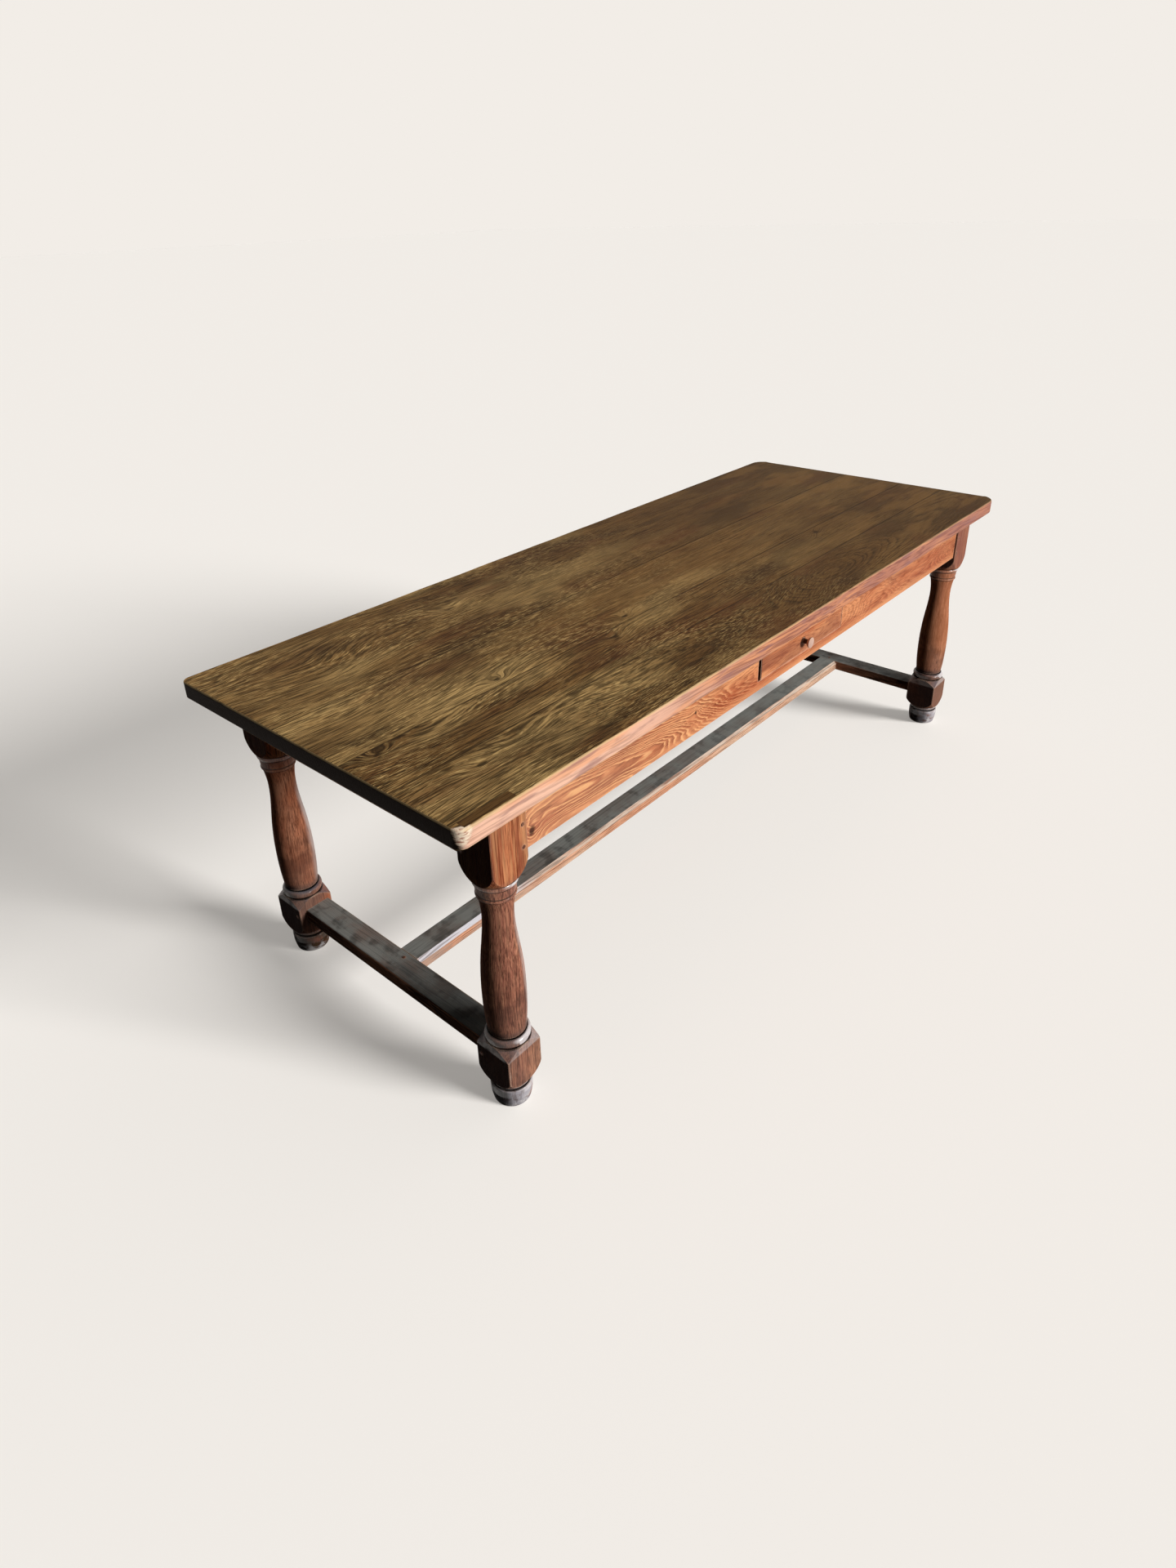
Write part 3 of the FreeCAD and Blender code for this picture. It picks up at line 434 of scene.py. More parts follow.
class OakFinish:
    """One oak material in the making: figure, marks, wear, and dirt with painted shade over a look's colours.
    """
    # Cover of a knot's core, spread of roughness over the fibres, and how much duller bare wood is
    core_cover = 0.85
    rough_spread = 0.24
    bare_rough = 0.12
    # Share of rings, fibres, pores and knots in the relief
    ring_relief = 0.5
    fibre_relief = 0.5
    pore_relief = -0.8
    core_relief = -1.2
    # Strength of the relief, and roughness of rubbed wax
    relief_strength = 0.6
    coat_rough = 0.25

    def __init__(self, name, look, turn=ALONG_X, heart=(0.0, 0.0, 0.0), lean=(0.0, 0.0), waver=0.02,
                 marks=()):
        self.material = bpy.data.materials.new(name)
        self.material.use_nodes = True
        self.material.node_tree.nodes.clear()
        self.look = look
        self.n = n = Nodes(self.material.node_tree)
        self.place = n.add("TexCoord").outputs["Object"]
        self.normal = n.add("NewGeometry").outputs["Normal"]
        spin = n.add("Mapping", {"Vector": self.place, "Rotation": turn}).outputs[0]
        grain = n.add("Mapping", {"Vector": spin, "Location": heart, "Rotation": (0.0, *lean)})
        self.along = grain.outputs[0]
        self.lift, self.core = 0.0, 0.0
        for centre, reach, lift, core in marks:
            found = n.group("Oak Mark", Vector=self.place, Centre=centre, Reach=reach, Lift=lift)
            self.lift = n.math("ADD", self.lift, found["Lift"])
            if core:
                self.core = n.math("MAXIMUM", self.core, n.math("MULTIPLY", found["Core"], core))
        self.figure = n.group("Oak Figure", Vector=self.along, Ring_Width=look.ring_width, Waver=waver,
                              Lift=self.lift)
        worn = n.group("Worn Arris", Vector=self.place, Width=look.wear_width, Level=look.wear_level)
        self.wear = worn["Wear"]
        self.grime_and_shade = n.group("Corner Grime", Vector=self.place)["Grime"]
        self.colour = self.figured(look.dark, look.body, look.pale)

    def figured(self, dark, body, pale):
        """Colour of clean wood from three tones."""
        n, f, look = self.n, self.figure, self.look
        tone = n.mix(n.ramp(f["Cloud"], 0.36, 0.66), body, pale)
        tone = n.mix(n.math("MULTIPLY", n.ramp(f["Streaks"], 0.50, 0.68), look.fibre_share * 0.7), tone, dark)
        tone = n.mix(n.math("MULTIPLY", f["Late"], look.late_share), tone, pale)
        tone = n.mix(n.math("MULTIPLY", n.math("SUBTRACT", 1.0, f["Rings"]), look.ring_share), tone, dark)
        tone = n.mix(n.math("MULTIPLY", n.ramp(f["Fibre"], 0.52, 0.7), look.fibre_share), tone, dark)
        tone = n.mix(n.math("MULTIPLY", n.ramp(f["Fibre"], 0.48, 0.3), look.fibre_share * 0.6), tone, pale)
        return n.mix(n.math("MULTIPLY", f["Pores"], look.pore_share), tone, dark)

    def cover(self, mask, tint, strength=1.0, blend="MIX"):
        """Lay a colour over what is there, where a mask says so."""
        n = self.n
        self.colour = n.mix(n.math("MULTIPLY", mask, strength), self.colour, tint, blend)

    def clouds(self, stretch, start, end, detail=4.0):
        """A mask of soft patches with their own count of cells per metre along each axis."""
        n = self.n
        return n.ramp(n.noise(self.place, stretch, detail), start, end)

    def both(self, *masks):
        """Where all of these masks hold."""
        found = masks[0]
        for mask in masks[1:]:
            found = self.n.math("MULTIPLY", found, mask)
        return found

    def facing(self, axis, start=0.6, end=0.9):
        """Where the surface looks along an axis or against it."""
        n = self.n
        return n.ramp(n.math("ABSOLUTE", n.vector("DOT_PRODUCT", self.normal, axis)), start, end)

    def looking(self, axis, start=0.6, end=0.9):
        """Where the surface looks along an axis."""
        return self.n.ramp(self.n.vector("DOT_PRODUCT", self.normal, axis), start, end)

    def part(self, axis):
        """How far along one axis a place is."""
        return self.n.add("SeparateXYZ", {"Vector": self.place}).outputs[axis]

    def finish(self, bump=0.0004, spec=0.06, coat=0.0):
        """Marks, dirt with painted shade in corners, and wear, then the surface itself."""
        n, look, f = self.n, self.look, self.figure
        if self.core:
            self.cover(self.core, look.grime_and_shade, self.core_cover)
        # Dirt and painted shade: inner corners found by occlusion are darkened
        self.cover(self.grime_and_shade, look.grime_and_shade, look.grime_and_shade_share)
        self.cover(self.wear, look.worn, look.wear_share)
        rough = n.math("MULTIPLY_ADD", f["Fibre"], self.rough_spread, look.roughness - self.rough_spread / 2)
        rough = n.math("ADD", rough, n.math("MULTIPLY", self.wear, self.bare_rough))
        height = n.math("MULTIPLY", f["Fibre"], self.fibre_relief)
        height = n.math("MULTIPLY_ADD", f["Rings"], self.ring_relief, height)
        height = n.math("MULTIPLY_ADD", f["Pores"], self.pore_relief, height)
        height = n.math("MULTIPLY_ADD", self.core, self.core_relief, height)
        relief = n.add("Bump", {"Height": height, "Strength": self.relief_strength, "Distance": bump})
        surface = n.add("BsdfPrincipled", {"Base Color": self.colour, "Roughness": rough,
                                           "Normal": relief.outputs[0], "Specular IOR Level": spec,
                                           "Coat Weight": coat, "Coat Roughness": self.coat_rough})
        out = n.add("OutputMaterial")
        n.feed(out.inputs["Surface"], surface.outputs[0])
        return self.material


def dress(node, material):
    """Give one carried-over piece its finish."""
    mesh = frame["nodes"][node].data
    mesh.materials.clear()
    mesh.materials.append(material)


def wander(*place):
    """Smooth noise from 0 to 1 at a place given in cells."""
    return 0.5 + 0.5 * noise.noise(Vector(place))


def rounding(distance, radius):
    """How far a rounded arris has fallen away at a distance from its outer end."""
    short = max(radius - distance, 0.0)
    return radius - math.sqrt(radius * radius - short * short)


class WornBoard:
    """One board of the top, lofted along its length, with worn arrises and a gently dished face."""
    # Stations by the ends of a board, the steps between them and across it, and the columns by an outer side
    end_steps = (0.0, 0.0003, 0.0010, 0.0020, 0.0034, 0.0050,
                 0.0070, 0.0095, 0.0125, 0.0160, 0.0205, 0.0260)
    step = 0.010
    column = 0.011
    rim_columns = 10
    rim_column = 0.003
    # Parts of a rounded arris and of an edge face
    arc = 5
    face = 7
    # Least radius of the upper arris, and how much more it has in places
    arris_round = 0.0030
    arris_more = 0.0042
    # How far an edge face wavers inward over long and short stretches, and its dents
    long_waver = 0.0013
    short_waver = 0.0007
    dent = 0.0035
    dent_level = 0.76
    # How far the upper face is skimmed, dished and rippled, and the margin of the patch where that fades
    skim = 0.00015
    dish = 0.0007
    ripple = 0.0004
    patch_margin = 0.05
    # How far an end face wavers inward, and how far along the board that fades
    end_waver = 0.0012
    end_ripple = 0.0007
    end_reach = 0.05
    # Which way the broken corner looks, and how rough it is
    break_way = Vector((-0.48, -0.80, 0.28)).normalized()
    splinter = 0.005
    chip = 0.004
    # Room round the tongues and the patch, how far the patch's cut goes up, and the angle of a sharp edge
    fit = 0.0002
    headroom = 0.01
    crease = math.radians(38.0)

    def __init__(self, node, rim, shape):
        self.shape = shape
        self.low, self.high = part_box(node)
        self.outer = (self.low.y < -rim, self.high.y > rim)
        self.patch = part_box("edge_patch")

    def stations(self):
        """Places along the board, close together at its ends."""
        left = [self.low.x + s for s in self.end_steps]
        right = [self.high.x - s for s in reversed(self.end_steps)]
        count = round((right[0] - left[-1]) / self.step)
        gap = (right[0] - left[-1]) / count
        return left + [left[-1] + gap * i for i in range(1, count)] + right

    def side(self, x, y, level, outer, drop):
        """Points up one long side, from the under face to the upper face, as (inset, height)."""
        if not outer:
            joint = self.shape.joint_round
            return [(0.0, level[0]), (0.0, level[1] - joint), (joint, level[1])]
        r = self.arris_round + self.arris_more * wander(9.0 * x, y, 3.0)
        inward = self.long_waver * wander(3.5 * x, y, 0.0) + self.short_waver * wander(19.0 * x, y, 1.0)
        inward += self.dent * max(0.0, wander(23.0 * x, y, 7.0) - self.dent_level)
        inward += drop
        u = self.shape.under_round
        turns = [QUARTER * i / self.arc for i in range(self.arc + 1)]
        below = [(inward + u * (1 - math.sin(t)), level[0] + u * (1 - math.cos(t))) for t in turns]
        above = [(inward + r * (1 - math.cos(t)), level[1] - r * (1 - math.sin(t))) for t in turns]
        rise = above[0][1] - below[-1][1]
        face = [(inward, below[-1][1] + rise * i / self.face) for i in range(1, self.face)]
        return below + face + above

    def sag(self, x, y):
        """How far use has lowered the upper face."""
        worn = self.dish * wander(5.0 * x, 8.0 * y, 5.0) + self.ripple * wander(22.0 * x, 34.0 * y, 9.0)
        low, high = self.patch
        away = max(low.x - x, x - high.x, low.y - y, y - high.y, 0.0)
        return self.skim + worn * min(away / self.patch_margin, 1.0)

    def section(self, x):
        """Closed outline of the board across its length at one station."""
        shape = self.shape
        reach = min(x - self.low.x, self.high.x - x)
        level = (self.low.z + rounding(reach, shape.under_round),
                 self.high.z - rounding(reach, shape.end_round))
        drop = rounding(reach, shape.left_corner if x < 0.0 else shape.right_corner)
        front = self.side(x, self.low.y, level, self.outer[0], drop)
        back = self.side(x, self.high.y, level, self.outer[1], drop)
        front = [(self.low.y + inset, z) for inset, z in front]
        back = [(self.high.y - inset, z) for inset, z in back]
        across = self.columns(front[-1][0], back[-1][0])
        top = [(y, level[1] - self.sag(x, y)) for y in across]
        ring = [(x, y, z) for y, z in front[:-1] + top + back[-2::-1]]
        return [self.ended(Vector(p), reach) for p in ring]

    def columns(self, start, stop):
        """Places across the upper face, close together by an outer side."""
        rim = [self.rim_column * i for i in range(self.rim_columns)]
        front = [start + r for r in rim] if self.outer[0] else [start]
        back = [stop - r for r in reversed(rim)] if self.outer[1] else [stop]
        count = round((self.high.y - self.low.y) / self.column)
        gap = (back[0] - front[-1]) / count
        return front + [front[-1] + gap * i for i in range(1, count)] + back

    def ended(self, point, reach):
        """The end faces are not quite straight, and the left front corner is broken off."""
        fade = max(0.0, 1.0 - reach / self.end_reach)
        inward = fade * (self.end_waver * wander(8.0 * point.y, point.x, 2.0)
                         + self.end_ripple * wander(40.0 * point.y, point.x, 4.0))
        point.x += inward if point.x < 0.0 else -inward
        if self.outer[0]:
            tip = Vector((self.low.x, self.low.y, self.high.z))
            past = (point - tip).dot(self.break_way) + self.shape.break_depth
            past += self.splinter * (wander(90.0 * point.x, 90.0 * point.y, 330.0 * point.z) - 0.5)
            past += self.chip * (wander(40.0 * point.x, 40.0 * point.y, 90.0 * point.z) - 0.5)
            if past > 0.0:
                point -= self.break_way * past
        return point

    def build(self, name):
        """The mesh object, with its grooves and the bed of the patch cut in."""
        rings = [self.section(x) for x in self.stations()]
        size = len(rings[0])
        faces = [list(range(size)), list(range((len(rings) - 1) * size, len(rings) * size))[::-1]]
        for i in range(len(rings) - 1):
            for j in range(size):
                k = (j + 1) % size
                faces.append([i * size + k, i * size + j, (i + 1) * size + j, (i + 1) * size + k])
        mesh = bpy.data.meshes.new(name)
        mesh.from_pydata([p for ring in rings for p in ring], [], faces)
        board = bpy.data.objects.new(name, mesh)
        bpy.context.scene.collection.objects.link(board)
        carve(board, self.hollows())
        board.data.shade_smooth()
        board.data.set_sharp_from_angle(angle=self.crease)
        return board

    def hollows(self):
        """Boxes to cut away: a groove in each joint edge, and the bed of the patch."""
        low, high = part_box("board_tongues")
        first_to_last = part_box("top_third_board")[1].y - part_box("top_front_board")[1].y
        reach = (high.y - low.y - first_to_last) / 2 + self.fit
        grow = Vector((self.fit, 0.0, self.fit))
        boxes = []
        for edge, outer in zip((self.low.y, self.high.y), self.outer):
            if not outer:
                start, stop = Vector((low.x, edge - reach, low.z)), Vector((high.x, edge + reach, high.z))
                boxes.append((start - grow, stop + grow))
        if self.outer[0]:
            low, high = self.patch
            grow = Vector((self.fit, self.fit, self.fit))
            boxes.append((low - grow, high + grow + Vector((0.0, 0.0, self.headroom))))
        return boxes


def carve(piece, boxes):
    """Cut boxes out of a piece for good."""
    corners = [(x, y, z) for x in (0, 1) for y in (0, 1) for z in (0, 1)]
    walls = [(0, 1, 3, 2), (4, 6, 7, 5), (0, 4, 5, 1), (2, 3, 7, 6), (0, 2, 6, 4), (1, 5, 7, 3)]
    points, faces = [], []
    for low, high in boxes:
        faces += [[len(points) + i for i in wall] for wall in walls]
        points += [[(low, high)[c][axis] for axis, c in enumerate(corner)] for corner in corners]
    mesh = bpy.data.meshes.new("cut")
    mesh.from_pydata(points, [], faces)
    cut = bpy.data.objects.new("cut", mesh)
    bpy.context.scene.collection.objects.link(cut)
    step = piece.modifiers.new("cut", "BOOLEAN")
    step.operation, step.solver, step.object = "DIFFERENCE", "EXACT", cut
    plain = piece.data
    carved = bpy.data.meshes.new_from_object(piece.evaluated_get(bpy.context.evaluated_depsgraph_get()))
    piece.modifiers.remove(step)
    piece.data = carved
    bpy.data.meshes.remove(plain)
    bpy.data.objects.remove(cut)
    bpy.data.meshes.remove(mesh)


class TABLE_OT_groups(bpy.types.Operator):
    """Build the shared effects: oak figure, marks, wear, dirt with painted shade in corners, and dust"""
    bl_idname = "table.groups"
    bl_label = "Shared Effects"

    def execute(self, context):
        make_figure_group()
        make_mark_group()
        make_wear_group()
        make_grime_and_shade_group()
        make_dust_group()
        return {"FINISHED"}


class TABLE_OT_top(bpy.types.Operator):
    """Finish the four boards of the top and the patch"""
    bl_idname = "table.top"
    bl_label = "Top"

    # Each board's heart, lean and waver of the grain, its washes of stain as (tone, strength, start, end)
    # along it, and its marks as (x, y, reach along, reach across, lift of the rings, darkness of the core)
    boards = {
        "top_front_board": dict(
            heart=(0.3, 0.335, -0.685), lean=(-0.05, 0.0), waver=0.05,
            washes=[("blotch", 0.45, -0.45, 0.35)],
            marks=[(-0.979, -0.311, 0.022, 0.011, 0.016, 0.8), (-0.872, -0.303, 0.050, 0.018, 0.030, 0.5),
                   (-0.02, -0.325, 0.10, 0.050, 0.045, 0.0), (0.20, -0.345, 0.12, 0.045, -0.03, 0.0),
                   (-0.62, -0.350, 0.09, 0.030, 0.03, 0.0), (-0.36, -0.335, 0.14, 0.040, 0.03, 0.0)]),
        "top_second_board": dict(
            heart=(1.7, 0.06, -0.72), lean=(-0.01, 0.0), waver=0.05,
            washes=[("blotch", 0.15, 0.2, 1.4)],
            marks=[(-1.072, -0.140, 0.020, 0.012, 0.02, 0.9), (-0.416, -0.153, 0.024, 0.012, 0.02, 0.8),
                   (0.509, -0.146, 0.020, 0.013, 0.02, 0.7), (-0.96, -0.160, 0.07, 0.025, 0.03, 0.0),
                   (-0.75, -0.2, 0.16, 0.04, 0.03, 0.0)]),
        "top_third_board": dict(
            heart=(3.1, -0.16, -0.70), lean=(0.015, 0.0), waver=0.05,
            washes=[("pale", 0.5, -1.4, 0.2), ("gold", 0.32, -1.4, -0.65)],
            marks=[(-0.729, -0.096, 0.018, 0.009, 0.02, 0.9), (-1.0, 0.03, 0.12, 0.035, 0.03, 0.0),
                   (-0.6, -0.02, 0.14, 0.040, -0.03, 0.0), (-0.310, -0.096, 0.018, 0.010, 0.02, 0.8)]),
        "top_back_board": dict(
            heart=(4.6, -0.52, -0.66), lean=(0.01, 0.0), waver=0.06,
            washes=[("pale", 0.6, -1.4, -0.7), ("gold", 0.15, -1.4, -0.8), ("blotch", 0.35, -0.35, 1.4)],
            marks=[(-1.10, 0.36, 0.014, 0.010, 0.01, 0.7), (-0.93, 0.22, 0.07, 0.045, 0.05, 0.0),
                   (-0.70, 0.35, 0.12, 0.040, -0.03, 0.0), (-0.53, 0.27, 0.030, 0.016, 0.02, 0.35)]),
    }
    # Height of the upper face, depth of a mark, half the length of a wash's fade, and reach of joint dirt
    face_height = 0.76
    mark_depth = 0.1
    wash_fade = 0.25
    joint_reach = (0.0030, 0.0008)
    # How far out a long side lies, where the short sides begin, and where the long ones are bleached
    outer = 0.43
    short_start = (1.12, 1.135)
    bleached_from = (-0.1, -0.9)
    gloss = 0.015

    def execute(self, context):
        looks = context.scene.table_look
        for name, values in self.boards.items():
            marks = [((x, y, self.face_height), (along, across, self.mark_depth), lift, core)
                     for x, y, along, across, lift, core in values["marks"]]
            oak = OakFinish(name + "_oak", looks.top, heart=values["heart"], lean=values["lean"],
                            waver=values["waver"], marks=marks)
            self.stain(oak, looks.top, values["washes"])
            self.joints(oak, looks.top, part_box(name))
            self.edges(oak, looks)
            self.arrises(oak)
            if name == "top_front_board":
                self.broken_corner(oak, looks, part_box(name))
            board = WornBoard(name, self.outer, looks.shape).build(name.replace("top", "worn"))
            board.data.materials.append(oak.finish(bump=DEEP_GRAIN, spec=self.gloss))
            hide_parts(name)
            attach(board, "table")
        patch = OakFinish("edge_patch_oak", looks.top, heart=(0.0, 0.4, -0.72))
        patch.wear = 0.0
        patch.cover(1.0, looks.top.blotch, 0.6)
        dress("edge_patch", patch.finish(spec=self.gloss))
        dress("board_tongues", OakFinish("tongue_oak", looks.inner, heart=(0.0, 0.0, -0.70)).finish())
        return {"FINISHED"}

    def stain(self, oak, top, washes):
        """Washes of stain, golden clouds and dark streaks towards the left end, and a duller right end."""
        n, along, fade = oak.n, oak.part("X"), self.wash_fade
        near_end, right_end = n.ramp(along, 0.6, -1.0), n.ramp(along, 0.0, 1.0)
        for tone, strength, start, end in washes:
            begun = n.ramp(along, start - fade, start + fade)
            not_over = n.ramp(along, end + fade, end - fade)
            places = oak.both(begun, not_over, oak.clouds((4.0, 8.0, 8.0), 0.2, 0.5))
            oak.cover(places, getattr(top, tone), strength)
        oak.cover(oak.clouds((3.0, 9.0, 9.0), 0.50, 0.70), top.blotch, 0.8)
        oak.cover(oak.clouds((3.4, 10.0, 5.0), 0.52, 0.68), top.russet, 0.55)
        golden = oak.clouds((2.6, 7.0, 7.0), 0.46, 0.66, 5.0)
        oak.cover(oak.both(golden, n.math("MULTIPLY_ADD", near_end, 0.85, 0.15)), top.gold, 0.5)
        fleck_places = oak.clouds((4.0, 9.0, 9.0), 0.36, 0.6)
        oak.cover(oak.both(oak.figure["Rays"], fleck_places, near_end), top.gold, 0.85)
        oak.cover(oak.both(n.ramp(oak.figure["Fibre"], 0.45, 0.58), near_end), top.dark, 0.72)
        oak.cover(oak.both(n.ramp(oak.figure["Streaks"], 0.48, 0.62), near_end), top.dark, 0.4)
        oak.cover(right_end, top.far, 0.5)
        oak.cover(oak.both(right_end, oak.clouds((2.2, 6.0, 6.0), 0.48, 0.60)), top.blotch, 0.45)
        oak.cover(oak.both(right_end, oak.clouds((3.6, 11.0, 4.0), 0.50, 0.62)), top.pale, 0.4)

    def joints(self, oak, top, box):
        """Dirt along the joints between the boards."""
        n, across = oak.n, oak.part("Y")
        for side in (box[0].y, box[1].y):
            if abs(side) < self.outer:
                gap = n.math("ABSOLUTE", n.math("SUBTRACT", across, side))
                oak.cover(n.ramp(gap, *self.joint_reach), top.grime_and_shade, 0.65)

    def long_side(self, oak):
        """Where a place lies on the long edge faces of the top."""
        return oak.n.ramp(oak.n.math("ABSOLUTE", oak.part("Y")), self.outer - 0.01, self.outer)

    def edges(self, oak, looks):
        """Tan long edge faces, bleached to the left, more bruised to the right, and black end faces, partly
        painted shade.
        """
        n, edge, along = oak.n, looks.edge, oak.part("X")
        near_end = n.ramp(along, *self.bleached_from)
        side = n.mix(near_end, edge.body, edge.bleached)
        warm = n.math("MULTIPLY", oak.clouds((5.0, 20.0, 40.0), 0.42, 0.62), 0.55)
        side = n.mix(warm, side, looks.frame.pale)
        fading = n.math("MULTIPLY_ADD", near_end, -0.35, 0.65)
        side = n.mix(oak.both(n.ramp(oak.figure["Streaks"], 0.47, 0.6), fading), side, edge.streak)
        side = n.mix(n.math("MULTIPLY", oak.clouds((9.0, 30.0, 60.0), 0.50, 0.66), 0.6), side, edge.bruise)
        side = n.mix(n.math("MULTIPLY", n.ramp(along, 0.2, 0.8), 0.12), side, edge.bruise)
        oak.cover(oak.both(oak.facing((0.0, 1.0, 0.0), 0.5, 0.85), self.long_side(oak)), side)
        # Partly painted shade: near-black end faces, dark end grain and the shade on them
        oak.cover(oak.facing((1.0, 0.0, 0.0), 0.35, 0.75), edge.end)

    def arrises(self, oak):
        """Bare wood along the arrises, more of it on the long sides and to the left."""
        n, along = oak.n, oak.part("X")
        upright = n.math("ABSOLUTE", n.add("SeparateXYZ", {"Vector": oak.normal}).outputs["Z"])
        ragged = oak.clouds((25.0, 25.0, 25.0), 0.2, 0.5)
        arris = oak.both(n.ramp(upright, 0.1, 0.4), n.ramp(upright, 0.97, 0.86), ragged)
        fading = n.math("MULTIPLY_ADD", n.ramp(along, 0.4, -0.8), 0.65, 0.35)
        short_side = n.math("MULTIPLY", n.ramp(n.math("ABSOLUTE", along), *self.short_start), 0.5)
        oak.wear = oak.both(arris, n.math("MAXIMUM", oak.both(self.long_side(oak), fading), short_side))

    def broken_corner(self, oak, looks, box):
        """Tan wood with pale splinters where the left front corner has broken off."""
        n, edge, depth = oak.n, looks.edge, looks.shape.break_depth
        tip = Vector((box[0].x, box[0].y, box[1].z))
        past = n.vector("DOT_PRODUCT", n.vector("SUBTRACT", oak.place, tip), WornBoard.break_way)
        past = n.math("MULTIPLY_ADD", n.noise(oak.place, (60.0, 60.0, 260.0), 3.0), 0.006, past)
        splinters = n.ramp(n.noise(oak.place, (90.0, 90.0, 420.0), 3.0), 0.70, 0.45)
        broken = n.ramp(past, -0.006 - depth, -0.001 - depth)
        oak.cover(broken, edge.body, 0.9)
        oak.cover(oak.both(broken, splinters), edge.split, 0.95)


class TABLE_OT_frame(bpy.types.Operator):
    """Finish the aprons"""
    bl_idname = "table.frame"
    bl_label = "Aprons"

    # Knots and swirls of the front apron: centre, reach, lift of the rings, darkness of the core
    marks = [((-0.943, -0.389, 0.633), (0.015, 0.05, 0.018), 0.008, 1.0),
             ((-0.438, -0.389, 0.656), (0.008, 0.05, 0.008), 0.004, 1.0),
             ((-0.84, -0.389, 0.655), (0.10, 0.2, 0.022), 0.035, 0.0),
             ((-0.56, -0.389, 0.640), (0.09, 0.2, 0.020), 0.030, 0.0),
             ((0.42, -0.389, 0.650), (0.08, 0.2, 0.022), 0.030, 0.0),
             ((0.75, -0.389, 0.660), (0.10, 0.2, 0.020), 0.030, 0.0)]
    # Where the face of the front apron ends and its drawer opening begins, as places across the table
    opening_start = (-0.3892, -0.3880)
    waver = 0.05

    def execute(self, context):
        look = context.scene.table_look.frame
        front = OakFinish("front_apron_oak", look, heart=(0.2, 0.440, -0.652), lean=(0.0, -0.03),
                          waver=self.waver, marks=self.marks)
        self.weather(front, look)
        self.loops(front, look)
        dress("front_apron", front.finish())
        back = OakFinish("back_apron_oak", look, heart=(2.2, -0.33, -0.65), lean=(0.0, 0.03),
                         waver=self.waver)
        self.weather(back, look)
        dress("back_apron", back.finish())
        for name, offset in (("left_end_apron", 0.0), ("right_end_apron", 1.3)):
            oak = OakFinish(name + "_oak", look, turn=ALONG_Y, heart=(offset, 0.97, -0.64), lean=(0.0, 0.05),
                            waver=self.waver)
            self.weather(oak, look)
            dress(name, oak.finish())
        return {"FINISHED"}

    def weather(self, oak, look):
        """Thick and thin stain, a brighter lower edge and a paler left end."""
        oak.cover(oak.clouds((5.0, 5.0, 18.0), 0.52, 0.72), look.blotch, 0.5)
        oak.cover(oak.n.ramp(oak.part("Z"), 0.628, 0.606), look.pale, 0.55)
        oak.cover(oak.n.ramp(oak.part("X"), -0.3, -1.0), look.worn, 0.18)

    def loops(self, front, look):
        """Golden loops to the left, thicker stain to the right and painted shade inside the drawer opening.
        """
        n = front.n
        near_end = n.ramp(front.part("X"), -0.15, -0.5)
        front.cover(front.both(n.math("SUBTRACT", 1.0, front.figure["Rings"]), near_end), look.dark, 0.2)
        front.cover(front.both(front.figure["Late"], near_end), look.gold, 0.75)
        front.cover(n.ramp(front.part("X"), 0.3, 0.7), look.blotch, 0.14)
        # Painted shade: the faces inside the drawer opening are darkened to near black
        inner = front.both(front.facing((1.0, 0.0, 0.0)), n.ramp(front.part("Y"), *self.opening_start))
        front.cover(inner, look.grime_and_shade, 0.95)


